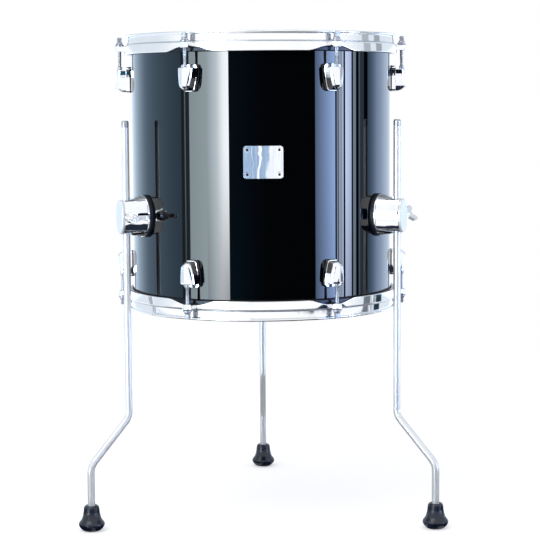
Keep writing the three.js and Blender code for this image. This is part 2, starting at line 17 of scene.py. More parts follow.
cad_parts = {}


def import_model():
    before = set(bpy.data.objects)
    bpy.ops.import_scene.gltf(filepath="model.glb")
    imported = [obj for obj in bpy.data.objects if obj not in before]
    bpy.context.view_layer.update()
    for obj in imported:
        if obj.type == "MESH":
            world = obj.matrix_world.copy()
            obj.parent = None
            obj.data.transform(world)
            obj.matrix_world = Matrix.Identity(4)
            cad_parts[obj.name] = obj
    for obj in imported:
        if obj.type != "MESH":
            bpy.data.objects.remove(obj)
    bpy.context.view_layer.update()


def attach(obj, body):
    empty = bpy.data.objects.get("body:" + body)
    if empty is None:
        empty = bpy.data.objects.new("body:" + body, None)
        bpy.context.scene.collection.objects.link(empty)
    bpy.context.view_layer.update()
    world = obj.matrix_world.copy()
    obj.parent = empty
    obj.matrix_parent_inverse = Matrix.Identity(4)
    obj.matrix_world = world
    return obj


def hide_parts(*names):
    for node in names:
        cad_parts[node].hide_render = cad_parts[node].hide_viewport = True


LOG = logging.getLogger("floor_tom")
MM = 0.001
DRUM_AXIS_Y = -47.2
SHELL_MIDDLE = 469.6
DEGREES = math.degrees(1)
# How far short of a level an edge may lie and still count as being at it.
SLACK = 0.01
# Scale, detail, stretch and roughness of the noise of the hairlines in chrome.
HAIRLINES = (2600, 3, (1, 1, 0.12), 0.6)
# A shield's proportions: the roundings of foot and waist, and where the waist stands.
FOOT_ROUND = 0.2
WAIST_WIDTH = 0.91
WAIST_DROP = 0.55
WAIST_ROUND = 0.2

Corner = tuple[float, float, float]
Colour = tuple[float, float, float]
Range = tuple[float, float]
Number = Union[float, int]


class Side(Enum):
    """The two ends of the drum."""

    BATTER = "batter"
    RESONANT = "resonant"


class Slot(Enum):
    """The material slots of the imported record."""

    SHELL = "shell_lacquer"
    CHROME = "chrome"
    BRUSHED = "brushed_metal"
    ALUMINIUM = "aluminium"
    COATED_FILM = "coated_film"
    CLEAR_FILM = "clear_film"
    RUBBER = "rubber"
    NYLON = "nylon"


# Shader maths


class Signal:
    """A shader socket that takes part in Python expressions."""

    def __init__(self, graph: "Graph", socket: bpy.types.NodeSocket) -> None:
        """Wraps a socket of a graph."""
        self.graph = graph
        self.socket = socket

    def maths(self, operation: str, *others: Union["Signal", Number], first: bool = True) -> "Signal":
        """Adds a Math node.

        Args:
            operation: the Math node's operation.
            others: its other inputs.
            first: whether this signal is the first input, or the second.

        Returns:
            The node's result.
        """
        values = [self, *others] if first else [others[0], self]
        node = self.graph.node("ShaderNodeMath", {"operation": operation}, dict(enumerate(values)))
        return Signal(self.graph, node.outputs[0])

    def __add__(self, other: Union["Signal", Number]) -> "Signal":
        """Sum."""
        return self.maths("ADD", other)

    def __sub__(self, other: Union["Signal", Number]) -> "Signal":
        """Difference."""
        return self.maths("SUBTRACT", other)

    def __rsub__(self, other: Number) -> "Signal":
        """Difference from a number."""
        return self.maths("SUBTRACT", other, first=False)

    def __mul__(self, other: Union["Signal", Number]) -> "Signal":
        """Product."""
        return self.maths("MULTIPLY", other)

    def __truediv__(self, other: Union["Signal", Number]) -> "Signal":
        """Quotient."""
        return self.maths("DIVIDE", other)

    def __pow__(self, other: Number) -> "Signal":
        """Power."""
        return self.maths("POWER", other)

    __radd__ = __add__
    __rmul__ = __mul__

    def rise(self, low: float, high: float) -> "Signal":
        """Goes smoothly from 0 at low to 1 at high.

        Args:
            low: value that gives 0.
            high: value that gives 1.

        Returns:
            The smooth step.
        """
        node = self.graph.node(
            "ShaderNodeMapRange",
            {"interpolation_type": "SMOOTHSTEP"},
            {"Value": self, "From Min": low, "From Max": high},
        )
        return Signal(self.graph, node.outputs[0])

    def between(self, low: float, high: float, blur: float) -> "Signal":
        """Is 1 between two values, with soft ends.

        Args:
            low: lower end.
            high: upper end.
            blur: width of each soft end.

        Returns:
            The mask.
        """
        return self.rise(low - blur / 2, low + blur / 2) * (1 - self.rise(high - blur / 2, high + blur / 2))


class Graph:
    """A node tree under construction."""

    def __init__(self, tree: bpy.types.NodeTree) -> None:
        """Empties the tree."""
        self.tree = tree
        tree.nodes.clear()

    def node(self, kind: str, settings: Optional[dict] = None, inputs: Optional[dict] = None) -> bpy.types.Node:
        """Adds a node.

        Args:
            kind: the node's type.
            settings: its own properties; "stops" gives a ramp's (place, colour) pairs.
            inputs: values or links by socket name or number.

        Returns:
            The node.
        """
        made = self.tree.nodes.new(kind)
        for key, value in (settings or {}).items():
            if key == "stops":
                self._stops(made.color_ramp, value)
            else:
                setattr(made, key, value)
        for key, value in (inputs or {}).items():
            socket = made.inputs[key]
            if isinstance(value, Signal):
                self.tree.links.new(value.socket, socket)
            elif isinstance(value, bpy.types.NodeSocket):
                self.tree.links.new(value, socket)
            else:
                socket.default_value = value
        return made

    @staticmethod
    def _stops(ramp: bpy.types.ColorRamp, stops: Sequence[tuple[float, Sequence[float]]]) -> None:
        """Sets a ramp's stops.

        Args:
            ramp: the ramp.
            stops: (place, colour) of each stop, in order.
        """
        while len(ramp.elements) > 1:
            ramp.elements.remove(ramp.elements[-1])
        ramp.elements[0].position = stops[0][0]
        ramp.elements[0].color = (*stops[0][1], 1.0)
        for place, colour in stops[1:]:
            ramp.elements.new(place).color = (*colour, 1.0)

    def signal(self, kind: str, settings: Optional[dict] = None, inputs: Optional[dict] = None) -> Signal:
        """Adds a node and wraps its first output.

        Args:
            kind: the node's type.
            settings: its own properties.
            inputs: values or links by socket.

        Returns:
            The output as a signal.
        """
        return Signal(self, self.node(kind, settings, inputs).outputs[0])

    def scaled(self, colour: Union[Signal, Colour], factor: Union[Signal, Number]) -> Signal:
        """Scales a colour.

        Args:
            colour: the colour.
            factor: what to multiply it by.

        Returns:
            The scaled colour.
        """
        return self.signal("ShaderNodeVectorMath", {"operation": "SCALE"}, {0: colour, "Scale": factor})

    def blend(self, share: Union[Signal, Number], low: Union[Signal, Colour], high: Union[Signal, Colour],
              mode: str = "MIX") -> Signal:
        """Mixes two colours.

        Args:
            share: how much of the second colour.
            low: first colour.
            high: second colour.
            mode: the Mix node's blend type.

        Returns:
            The mixed colour.
        """
        made = self.node("ShaderNodeMix", {"data_type": "RGBA", "blend_type": mode})
        for index, value in ((0, share), (6, low), (7, high)):
            if isinstance(value, Signal):
                self.tree.links.new(value.socket, made.inputs[index])
            else:
                made.inputs[index].default_value = (*value, 1.0) if index else value
        return Signal(self, made.outputs[2])

    def noise(self, scale: float, detail: float = 3.0, stretch: Sequence[float] = (1, 1, 1),
              roughness: float = 0.5) -> Signal:
        """Noise on the object's own coordinates.

        Args:
            scale: features a metre.
            detail: octaves.
            stretch: how much finer the noise is along each axis.
            roughness: weight of the finer octaves.

        Returns:
            A value about 0.5.
        """
        place = self.node(
            "ShaderNodeMapping", {"vector_type": "POINT"}, {"Vector": self.place("Object"), "Scale": stretch})
        inputs = {"Vector": place.outputs[0], "Scale": scale, "Detail": detail, "Roughness": roughness}
        return self.signal("ShaderNodeTexNoise", {}, inputs)

    def place(self, coordinates: str) -> bpy.types.NodeSocket:
        """The coordinates of one kind."""
        return self.node("ShaderNodeTexCoord").outputs[coordinates]

    def axes(self, coordinates: str = "Object") -> list[Signal]:
        """The three coordinates of one kind, where the object's own are in metres."""
        split = self.node("ShaderNodeSeparateXYZ", {}, {0: self.place(coordinates)})
        return [Signal(self, split.outputs[index]) for index in range(3)]

    def around_drum(self) -> tuple[Signal, Signal]:
        """Measures a point from the drum's axis.

        Returns:
            Its distance from the axis and its height, in metres.
        """
        x, y, z = self.axes()
        beyond = y - DRUM_AXIS_Y * MM
        return (x * x + beyond * beyond) ** 0.5, z

    def bump(self, height: Signal, strength: float, distance: float) -> Signal:
        """Turns a height into a normal.

        Args:
            height: the height signal.
            strength: share of the full effect.
            distance: height in metres of a signal of 1.

        Returns:
            The bent normal.
        """
        return self.signal("ShaderNodeBump", {}, {"Strength": strength, "Distance": distance, "Height": height})

    def surface(self, sockets: dict) -> None:
        """Ends a material with a Principled shader.

        Args:
            sockets: values or links of the shader's sockets.
        """
        shader = self.node("ShaderNodeBsdfPrincipled", {}, sockets)
        self.node("ShaderNodeOutputMaterial", {}, {"Surface": shader.outputs[0]})


# Finishes


@dataclass(frozen=True)
class Finish:
    """A surface finish, made into a material the first time a piece asks for it."""

    name: str
    slot: Slot

    def material(self) -> bpy.types.Material:
        """Gives the finish's material, and makes it if need be.

        Returns:
            The material.
        """
        found = bpy.data.materials.get(self.name)
        if found:
            return found
        made = bpy.data.materials.new(self.name)
        made.use_nodes = True
        self.dress(Graph(made.node_tree))
        return made

    def dress(self, graph: Graph) -> None:
        """Builds the nodes.

        Args:
            graph: the material's empty graph.
        """
        raise NotImplementedError


@dataclass(frozen=True)
class PianoLacquer(Finish):
    """Black polished lacquer outside the shell, oiled birch ply inside it."""

    outside_from: float = 177.4
    edge_blur: float = 0.3
    black: Colour = (0.0011, 0.0013, 0.0019)
    wood_pale: Colour = (0.56, 0.37, 0.2)
    wood_dark: Colour = (0.36, 0.2, 0.09)
    gloss: float = 0.012

    def dress(self, graph: Graph) -> None:
        """Builds the nodes.

        Args:
            graph: the material's empty graph.
        """
        radius, _ = graph.around_drum()
        outside = radius.rise((self.outside_from - self.edge_blur) * MM, self.outside_from * MM)
        grain = graph.noise(260, 5, (1, 1, 0.06), 0.62)
        figure = graph.noise(22, 3, (1, 1, 0.35), 0.5)
        wood = graph.blend((grain * 0.7 + figure * 0.3).rise(0.3, 0.72), self.wood_dark, self.wood_pale)
        swirl = graph.noise(900, 6, (1, 1, 0.3), 0.7)
        peel = graph.noise(420, 2)
        colour = graph.blend(outside, wood, self.black)
        rough = (1 - outside) * (grain * 0.2 + 0.36) + outside * (swirl * 0.05 + 0.3)
        graph.surface({
            "Base Color": colour,
            "Roughness": rough,
            "Specular IOR Level": 0.0,
            "Coat Weight": outside * 0.98 + 0.02,
            "Coat Roughness": self.gloss,
            "Coat IOR": 1.5,
            "Normal": graph.bump(grain * (1 - outside) + peel * (outside * 0.02), 0.25, 0.0002),
        })


@dataclass(frozen=True)
class Plating(Finish):
    """Polished chrome plate, with faint smears and hairlines."""

    colour: Colour = (0.87, 0.885, 0.91)
    shade: Colour = (0.8, 0.82, 0.86)
    rough: float = 0.05
    metal: float = 1.0
    smear: float = 0.03
    ripple: float = 0.02
    ripple_scale: float = 55

    def dress(self, graph: Graph) -> None:
        """Builds the nodes.

        Args:
            graph: the material's empty graph.
        """
        cloud = graph.noise(38, 4)
        hairline = graph.noise(*HAIRLINES)
        wave = graph.noise(self.ripple_scale, 1)
        graph.surface({
            "Base Color": graph.blend(cloud.rise(0.35, 0.7), self.colour, self.shade),
            "Metallic": self.metal,
            "Roughness": cloud.rise(0.3, 0.75) * self.smear + hairline * (self.smear / 3) + self.rough,
            "Normal": graph.bump(wave + hairline * 0.01, self.ripple, 0.002),
        })


@dataclass(frozen=True)
class BadgePlate(Finish):
    """Polished plate, a little wavy and tilted, dished round its four pins, with painted reflections in its colour:
    blue, silver and white stripes, and light rings round the pins.
    """

    centre: Range = (2.5, 488.0)
    pins: Range = (20.5, 15.75)
    dish: Range = (1.8, 4.2)
    # Painted reflections: light rings round the pins, two light stripes and a bright band, and the blue, silver and
    # white that they are painted in.
    ring: tuple[float, float, float] = (2.6, 3.5, 1.2)
    reflection_streaks: tuple[tuple[float, float, float, float], ...] = ((-6.5, -3.6, 1.5, 1.0), (-14.2, -13.2, 1.4, 0.6))
    bright: tuple[float, float, float] = (3.5, 7.5, 0.72)
    blue: Colour = (0.2, 0.33, 0.53)
    silver: Colour = (0.52, 0.62, 0.76)
    white: Colour = (0.93, 0.95, 0.97)

    def dress(self, graph: Graph) -> None:
        """Builds the nodes.

        Args:
            graph: the material's empty graph.
        """
        x, _, z = graph.axes()
        across = (x - self.centre[0] * MM).maths("ABSOLUTE") - self.pins[0] * MM
        up = (z - self.centre[1] * MM).maths("ABSOLUTE") - self.pins[1] * MM
        away = (across * across + up * up) ** 0.5
        dish = 1 - away.rise(*(edge * MM for edge in self.dish))
        ring = away.between(*(edge * MM for edge in self.ring))
        sway = (graph.noise(50, 2) - 0.5) * 0.012
        drift = x - self.centre[0] * MM + sway
        streak = graph.noise(520, 3, (1, 1, 0.05)) - 0.5
        # Painted reflection: the bright band, the light stripes and the rings round the pins lighten the colour
        # towards white, over blue and silver stripes.
        start, end, share = self.bright
        pale = drift.rise(start * MM, end * MM) * share + ring * 0.4
        for start, end, blur, share in self.reflection_streaks:
            pale = pale + drift.between(start * MM, end * MM, blur * MM) * share
        colour = graph.blend(streak * 1.2 + 0.35, self.blue, self.silver)
        colour = graph.blend((pale + streak * 0.5).rise(0.05, 1.0), colour, self.white)
        brush = graph.noise(2600, 3, (0.05, 1, 1), 0.6)
        graph.surface({
            "Base Color": colour,
            "Metallic": 1.0,
            "Roughness": brush * 0.08 + 0.1,
            "Normal": graph.bump(z * -0.1 + dish * -0.00009 + sway * 0.004, 1.0, 1.0),
        })


@dataclass(frozen=True)
class RimPlating(Finish):
    """Polished chrome of the rims, with painted shade in the crease over the skirt and patchy painted shade along the
    lip, and faint patchy wear.
    """

    colour: Colour = (0.88, 0.89, 0.905)
    shade_and_wear: Colour = (0.42, 0.46, 0.5)
    # Levels from the drum's middle of the painted shade: in the crease over the skirt, and along the lip.
    crease: Range = (171.7, 173.2)
    lip: Range = (184.2, 185.1)
    line_blur: float = 0.5
    throat: float = 184.4
    throat_blur: float = 0.6

    def dress(self, graph: Graph) -> None:
        """Builds the nodes.

        Args:
            graph: the material's empty graph.
        """
        radius, height = graph.around_drum()
        level = (height - SHELL_MIDDLE * MM).maths("ABSOLUTE")
        lines = (self.crease, self.lip)
        crease, lip = (level.between(low * MM, high * MM, self.line_blur * MM) for low, high in lines)
        crease = crease * (1 - radius.rise((self.throat - self.throat_blur) * MM, self.throat * MM))
        cloud = graph.noise(26, 4)
        hairline = graph.noise(*HAIRLINES)
        # Painted shade in the crease and along the lip, with faint patchy wear, darkens the colour.
        marked = crease * 0.85 + lip * 0.42 * cloud.rise(0.3, 0.6) + cloud.rise(0.5, 0.8) * 0.1
        graph.surface({
            "Base Color": graph.blend(marked, self.colour, self.shade_and_wear),
            "Metallic": 1.0,
            "Roughness": crease * 0.2 + cloud * 0.04 + hairline * 0.01 + 0.03,
            "Normal": graph.bump(graph.noise(24, 1) + hairline * 0.01, 0.012, 0.002),
        })


@dataclass(frozen=True)
class BrushedSteel(Finish):
    """Zinc-plated or brushed steel of the parts inside the shell."""

    colour: Colour = (0.62, 0.63, 0.66)
    shade: Colour = (0.45, 0.46, 0.49)
    rough: float = 0.32

    def dress(self, graph: Graph) -> None:
        """Builds the nodes.

        Args:
            graph: the material's empty graph.
        """
        brush = graph.noise(1500, 4, (1, 1, 0.03), 0.6)
        cloud = graph.noise(60, 4)
        graph.surface({
            "Base Color": graph.blend((brush * 0.5 + cloud * 0.5).rise(0.35, 0.65), self.shade, self.colour),
            "Metallic": 1.0,
            "Roughness": brush * 0.18 + cloud * 0.08 + (self.rough - 0.12),
            "Normal": graph.bump(brush, 0.12, 0.0001),
        })


@dataclass(frozen=True)
class CoatedFilm(Finish):
    """White sprayed coating of the batter head, with the grit and faint stick marks of a played head."""

    white: Colour = (0.84, 0.84, 0.81)
    grey: Colour = (0.72, 0.72, 0.7)

    def dress(self, graph: Graph) -> None:
        """Builds the nodes.

        Args:
            graph: the material's empty graph.
        """
        grit = graph.noise(2400, 3, roughness=0.7)
        cloud = graph.noise(9, 3)
        marks = graph.noise(48, 5, (1, 2.4, 1), 0.7).rise(0.6, 0.74)
        graph.surface({
            "Base Color": graph.blend(cloud.rise(0.35, 0.7) * 0.25 + marks * 0.35, self.white, self.grey),
            "Roughness": grit * 0.2 + 0.62,
            "Normal": graph.bump(grit, 0.35, 0.0002),
        })


@dataclass(frozen=True)
class ClearFilm(Finish):
    """Clear film of the resonant head, which the inside of the shell shows through."""

    tint: Colour = (0.8, 0.83, 0.85)
    haze: Colour = (0.7, 0.73, 0.76)

    def dress(self, graph: Graph) -> None:
        """Builds the nodes.

        Args:
            graph: the material's empty graph.
        """
        haze = graph.noise(14, 4)
        graph.surface({
            "Base Color": graph.blend(haze, self.tint, self.haze),
            "Roughness": haze * 0.08 + 0.06,
            "Alpha": haze * 0.1 + 0.16,
            "Normal": graph.bump(graph.noise(7, 1), 0.06, 0.002),
        })


@dataclass(frozen=True)
class MouldedRubber(Finish):
    """Black rubber with a slight bloom, paler where it rubs on the floor."""

    black: Colour = (0.003, 0.007, 0.02)
    bloom: Colour = (0.008, 0.016, 0.038)
    rough: float = 0.34
    scuffed: bool = False
    scuff: Colour = (0.1, 0.1, 0.11)
    scuff_height: float = 5.0

    def dress(self, graph: Graph) -> None:
        """Builds the nodes.

        Args:
            graph: the material's empty graph.
        """
        cloud = graph.noise(70, 4)
        pores = graph.noise(2200, 3, roughness=0.7)
        colour = graph.blend(cloud.rise(0.35, 0.75), self.black, self.bloom)
        rough = cloud * 0.14 + pores * 0.06 + (self.rough - 0.1)
        if self.scuffed:
            height = graph.axes()[2]
            marked = (1 - height.rise(0.0, self.scuff_height * MM)) * pores.rise(0.4, 0.6)
            colour = graph.blend(marked, colour, self.scuff)
            rough = rough + marked * 0.25
        graph.surface({
            "Base Color": colour,
            "Roughness": rough,
            "Normal": graph.bump(pores, 0.1, 0.0002),
        })


@dataclass(frozen=True)
class Nylon(Finish):
    """Dark moulded nylon of the bushes and washers."""

    colour: Colour = (0.028, 0.029, 0.033)
    pale: Colour = (0.05, 0.051, 0.056)

    def dress(self, graph: Graph) -> None:
        """Builds the nodes.

        Args:
            graph: the material's empty graph.
        """
        cloud = graph.noise(120, 4)
        grain = graph.noise(1800, 2)
        graph.surface({
            "Base Color": graph.blend(cloud.rise(0.3, 0.7), self.colour, self.pale),
            "Roughness": cloud * 0.15 + 0.38,
            "Normal": graph.bump(grain, 0.08, 0.0001),
        })


LACQUER = PianoLacquer("gloss_black_lacquer", Slot.SHELL)
CAST_CHROME = Plating("cast_chrome", Slot.CHROME, rough=0.04, ripple=0.05, ripple_scale=70)
CAP_CHROME = Plating("cap_chrome", Slot.CHROME, colour=(0.82, 0.83, 0.85), shade=(0.79, 0.805, 0.83),
                     rough=0.28, metal=0.35)
WING_CHROME = Plating("wing_chrome", Slot.CHROME, colour=(0.86, 0.87, 0.89), rough=0.24, metal=0.4, ripple=0.004)
RIM_CHROME = RimPlating("rim_chrome", Slot.CHROME)
BAR_CHROME = Plating("bar_chrome", Slot.CHROME, colour=(0.84, 0.86, 0.88), shade=(0.78, 0.8, 0.83),
                     rough=0.34, metal=0.45, ripple=0.004)
TIP_CHROME = Plating("leg_tip_chrome", Slot.CHROME, colour=(0.5, 0.52, 0.56), shade=(0.44, 0.46, 0.5),
                     rough=0.3, metal=0.5)
ROD_CHROME = Plating("rod_chrome", Slot.CHROME, colour=(0.44, 0.46, 0.5), shade=(0.36, 0.38, 0.43),
                     rough=0.3, metal=0.55, ripple=0.0)
BRACKET_CHROME = Plating("bracket_chrome", Slot.CHROME, rough=0.04, ripple=0.16, ripple_scale=95)
BADGE_METAL = BadgePlate("badge_metal", Slot.BRUSHED)
# The flesh hoops' near-black colour is painted shade, for the shadow under the rims.
SHADED_HOOP_METAL = BrushedSteel("flesh_hoop_painted_shade", Slot.ALUMINIUM, colour=(0.035, 0.038, 0.045),
                          shade=(0.02, 0.022, 0.028), rough=0.2)
INNER_STEEL = BrushedSteel("zinc_plated_steel", Slot.BRUSHED)
PIN_STEEL = BrushedSteel("badge_pin_steel", Slot.BRUSHED, colour=(0.03, 0.032, 0.04), shade=(0.015, 0.016, 0.02))
HEAD_COATING = CoatedFilm("coated_head", Slot.COATED_FILM)
HEAD_CLEAR = ClearFilm("clear_head", Slot.CLEAR_FILM)
GASKET_RUBBER = MouldedRubber("gasket_rubber", Slot.RUBBER, rough=0.42)
FOOT_RUBBER = MouldedRubber("foot_rubber", Slot.RUBBER, rough=0.24, scuffed=True)
BUSH_NYLON = Nylon("bush_nylon", Slot.NYLON)


# Shaping


def past(level: float, axis: int, sign: int = 1) -> Callable[[BMEdge], bool]:
    """Chooses the edges that lie at a level or past it.

    Args:
        level: the level along the axis.
        axis: 0, 1 or 2.
        sign: 1 to look above the level, -1 to look below it.

    Returns:
        The test of an edge.
    """
    return lambda edge: all(vert.co[axis] * sign > level * sign - SLACK for vert in edge.verts)


def at_front(reach: float) -> Callable[[BMEdge], bool]:
    """Chooses the edges of a piece's front, which is at a distance from the drum's axis."""
    return past(-reach, 1, -1)


class Blank:
    """A piece being shaped with bmesh operators, in millimetres, before it is set down."""

    def __init__(self) -> None:
        """Starts with nothing."""
        self.bm: BMesh = bmesh.new()

    @classmethod
    def turned(cls, corners: Sequence[Corner], steps: int = 96, segments: int = 3) -> "Blank":
        """Turns a section about Z.

        Args:
            corners: (radius, height, rounding) of each corner of the section, in order.
            steps: steps in a full turn.
            segments: segments of each rounded corner.

        Returns:
            The turned piece.
        """
        made = cls()
        bm = made.bm
        made.outline([(radius, 0.0, height, rounding) for radius, height, rounding in corners], segments)
        bmesh.ops.delete(bm, geom=bm.faces[:], context="FACES_ONLY")
        on_axis = [edge for edge in bm.edges if all(abs(vert.co.x) < 1e-6 for vert in edge.verts)]
        bmesh.ops.delete(bm, geom=on_axis, context="EDGES")
        bmesh.ops.spin(
            bm, geom=bm.verts[:] + bm.edges[:], cent=(0, 0, 0), axis=(0, 0, 1), dvec=(0, 0, 0),
            angle=2 * math.pi, steps=steps, use_merge=True,
        )
        bmesh.ops.remove_doubles(bm, verts=bm.verts[:], dist=1e-4)
        bmesh.ops.recalc_face_normals(bm, faces=bm.faces[:])
        return made

    @classmethod
    def slab(cls, corners: Sequence[Corner], inner: float, outer: float, segments: int = 6) -> "Blank":
        """Stands an outline upright, facing -Y, and gives it a thickness.

        Args:
            corners: (x, z, rounding) of each corner of the outline, in order.
            inner: distance of the back from the drum's axis.
            outer: distance of the front from the drum's axis.
            segments: segments of each rounded corner.

        Returns:
            The slab, whose front faces -Y.
        """
        made = cls()
        made.outline([(x, -inner, z, rounding) for x, z, rounding in corners], segments)
        return made.thickened((0, inner - outer, 0))

    @classmethod
    def drawn(cls, corners: Sequence[Corner], stations: Sequence[tuple[float, float, float]], back: float,
              segments: int = 5) -> "Blank":
        """Draws a section downwards through stations, each with its own width and reach.

        Args:
            corners: (x, reach, rounding) of each corner of the first station's section, with its back at back.
            stations: (height, half width, reach) of each station, from the top down.
            back: distance of the flat back from the drum's axis.
            segments: segments of each rounded corner.

        Returns:
            The drawn solid, whose front faces -Y.
        """
        made = cls()
        bm = made.bm
        height, width, reach = stations[0]
        made.outline([(x, -y, height, rounding) for x, y, rounding in corners], segments)
        faces = bm.faces[:]
        for low, narrow, near in stations[1:]:
            lowered = bmesh.ops.extrude_face_region(bm, geom=faces)
            verts = [item for item in lowered["geom"] if isinstance(item, BMVert)]
            faces = [item for item in lowered["geom"] if isinstance(item, BMFace)]
            stretch = (near - back) / (reach - back)
            squeeze = Matrix.Diagonal((narrow / width, stretch, 1.0, 1.0))
            about_back = Matrix.Translation((0, -back, 0)) @ squeeze @ Matrix.Translation((0, back, 0))
            bmesh.ops.transform(bm, matrix=Matrix.Translation((0, 0, low - height)) @ about_back, verts=verts)
            height, width, reach = low, narrow, near
        bmesh.ops.recalc_face_normals(bm, faces=bm.faces[:])
        return made

    @classmethod
    def oval(cls, width: float, height: float, inner: float, outer: float, squareness: float = 0.9,
             steps: int = 72) -> "Blank":
        """Stands a squarish oval upright, facing -Y, and gives it a thickness.

        Args:
            width: its width.
            height: its height.
            inner: distance of the back from the drum's axis.
            outer: distance of the front from the drum's axis.
            squareness: 1 for an ellipse, less for squarer shoulders.
            steps: points round it.

        Returns:
            The slab.
        """
        made = cls()
        bmesh.ops.create_circle(made.bm, cap_ends=True, radius=1.0, segments=steps)

        def squared(point: Vector) -> Vector:
            """Pushes a point of the circle out to the oval."""
            x, z = (math.copysign(abs(value) ** squareness, value) for value in (point.x, point.y))
            return Vector((x * width / 2, -inner, z * height / 2))

        return made.reshaped(squared).thickened((0, inner - outer, 0))

    @classmethod
    def block(cls, centre: Sequence[float], size: Sequence[float]) -> "Blank":
        """Makes a block with square edges.

        Args:
            centre: its centre.
            size: its three sides.

        Returns:
            The block.
        """
        made = cls()
        bmesh.ops.create_cube(made.bm, size=1.0)
        return made.moved(Matrix.Translation(centre) @ Matrix.Diagonal((*size, 1.0)))

    def outline(self, corners: Sequence[Sequence[float]], segments: int) -> None:
        """Makes one face from corners and rounds those that have a rounding.

        Args:
            corners: (x, y, z, rounding) of each corner.
            segments: segments of each rounded corner.
        """
        bm = self.bm
        verts = [bm.verts.new(corner[:3]) for corner in corners]
        bm.faces.new(verts)
        rounds = sorted({corner[3] for corner in corners if corner[3] > 0})
        groups = [(width, [vert for vert, corner in zip(verts, corners) if corner[3] == width]) for width in rounds]
        for width, group in groups:
            bmesh.ops.bevel(
                bm, geom=group, offset=width, offset_type="OFFSET", segments=segments, profile=0.5,
                affect="VERTICES", material=-1, clamp_overlap=True,
            )

    def thickened(self, step: Sequence[float]) -> "Blank":
        """Gives a flat blank a thickness.

        Args:
            step: the way from one side to the other.

        Returns:
            The same blank, closed.
        """
        lifted = bmesh.ops.extrude_face_region(self.bm, geom=self.bm.faces[:], use_keep_orig=True)
        moved = [item for item in lifted["geom"] if isinstance(item, BMVert)]
        bmesh.ops.translate(self.bm, verts=moved, vec=step)
        bmesh.ops.recalc_face_normals(self.bm, faces=self.bm.faces[:])
        return self

    def soften(self, width: float, segments: int = 3, chosen: Callable[[BMEdge], bool] = lambda edge: True,
               least_angle: float = 25) -> "Blank":
        """Rounds the sharp edges.

        Args:
            width: width of the rounding.
            segments: its segments.
            chosen: which edges may be rounded.
            least_angle: angle in degrees between faces from which an edge counts as sharp.

        Returns:
            The same blank.
        """
        limit = math.radians(least_angle)
        sharp = [
            edge for edge in self.bm.edges
            if edge.is_manifold and edge.calc_face_angle(0.0) > limit and chosen(edge)
        ]
        bmesh.ops.bevel(
            self.bm, geom=sharp, offset=width, offset_type="OFFSET", segments=segments, profile=0.5,
            affect="EDGES", material=-1, clamp_overlap=True,
        )
        return self

    def sliced(self, planes: Sequence[float], axis: int = 0) -> "Blank":
        """Cuts loops across the piece, without parting it.

        Args:
            planes: places of the cuts along the axis.
            axis: 0, 1 or 2.

        Returns:
            The same blank.
        """
        normal = Vector((0, 0, 0))
        normal[axis] = 1
        for plane in planes:
            everything = self.bm.verts[:] + self.bm.edges[:] + self.bm.faces[:]
            bmesh.ops.bisect_plane(self.bm, geom=everything, dist=1e-5, plane_co=normal * plane, plane_no=normal)
        return self

    def wrapped(self, step: float = 2.0) -> "Blank":
        """Bends a slab round the drum's axis, so that its back follows the shell.

        Args:
            step: width of the strips that it is cut into first.

        Returns:
            The same blank.
        """
        half = max(abs(vert.co.x) for vert in self.bm.verts)
        count = int(half / step)
        self.sliced([index * step for index in range(-count, count + 1)])
        for vert in self.bm.verts:
            radius = -vert.co.y
            angle = vert.co.x / radius
            vert.co.x = radius * math.sin(angle)
            vert.co.y = -radius * math.cos(angle)
        return self

    def reshaped(self, move: Callable[[Vector], Vector]) -> "Blank":
        """Moves every point by a rule.

        Args:
            move: gives a point's new place.

        Returns:
            The same blank.
        """
        for vert in self.bm.verts:
            vert.co = move(vert.co.copy())
        return self

    def moved(self, matrix: Matrix) -> "Blank":
        """Moves the whole blank.

        Args:
            matrix: the move, in millimetres.

        Returns:
            The same blank.
        """
        bmesh.ops.transform(self.bm, matrix=matrix, verts=self.bm.verts[:])
        if matrix.determinant() < 0:
            bmesh.ops.reverse_faces(self.bm, faces=self.bm.faces[:])
        return self

    def joined(self, *others: "Blank") -> "Blank":
        """Takes other blanks in as loose parts.

        Args:
            others: the blanks to take in, which are left as they were.

        Returns:
            The same blank.
        """
        for other in others:
            mesh = bpy.data.meshes.new("joining")
            other.bm.to_mesh(mesh)
            self.bm.from_mesh(mesh)
            bpy.data.meshes.remove(mesh)
        return self

    def copy(self) -> "Blank":
        """A copy of the blank."""
        return Blank().joined(self)

    def carved(self, *cutters: "Blank") -> "Blank":
        """Cuts the shape of other blanks out of this one.

        Args:
            cutters: the blanks to cut with.

        Returns:
            The same blank.
        """
        for cutter in cutters:
            body = self._loose("carved")
            tool = cutter._loose("cutter")
            cut = body.modifiers.new("cut", "BOOLEAN")
            cut.operation = "DIFFERENCE"
            cut.solver = "EXACT"
            cut.object = tool
            bpy.context.view_layer.update()
            result = body.evaluated_get(bpy.context.evaluated_depsgraph_get()).to_mesh()
            self.bm.clear()
            self.bm.from_mesh(result)
            for spare in (body, tool):
                mesh = spare.data
                bpy.data.objects.remove(spare)
                bpy.data.meshes.remove(mesh)
        bmesh.ops.remove_doubles(self.bm, verts=self.bm.verts[:], dist=1e-4)
        return self

    def _loose(self, name: str) -> bpy.types.Object:
        """Makes a passing object of the blank.

        Args:
            name: its name.

        Returns:
            The object.
        """
        mesh = bpy.data.meshes.new(name)
        self.bm.to_mesh(mesh)
        made = bpy.data.objects.new(name, mesh)
        bpy.context.scene.collection.objects.link(made)
        return made

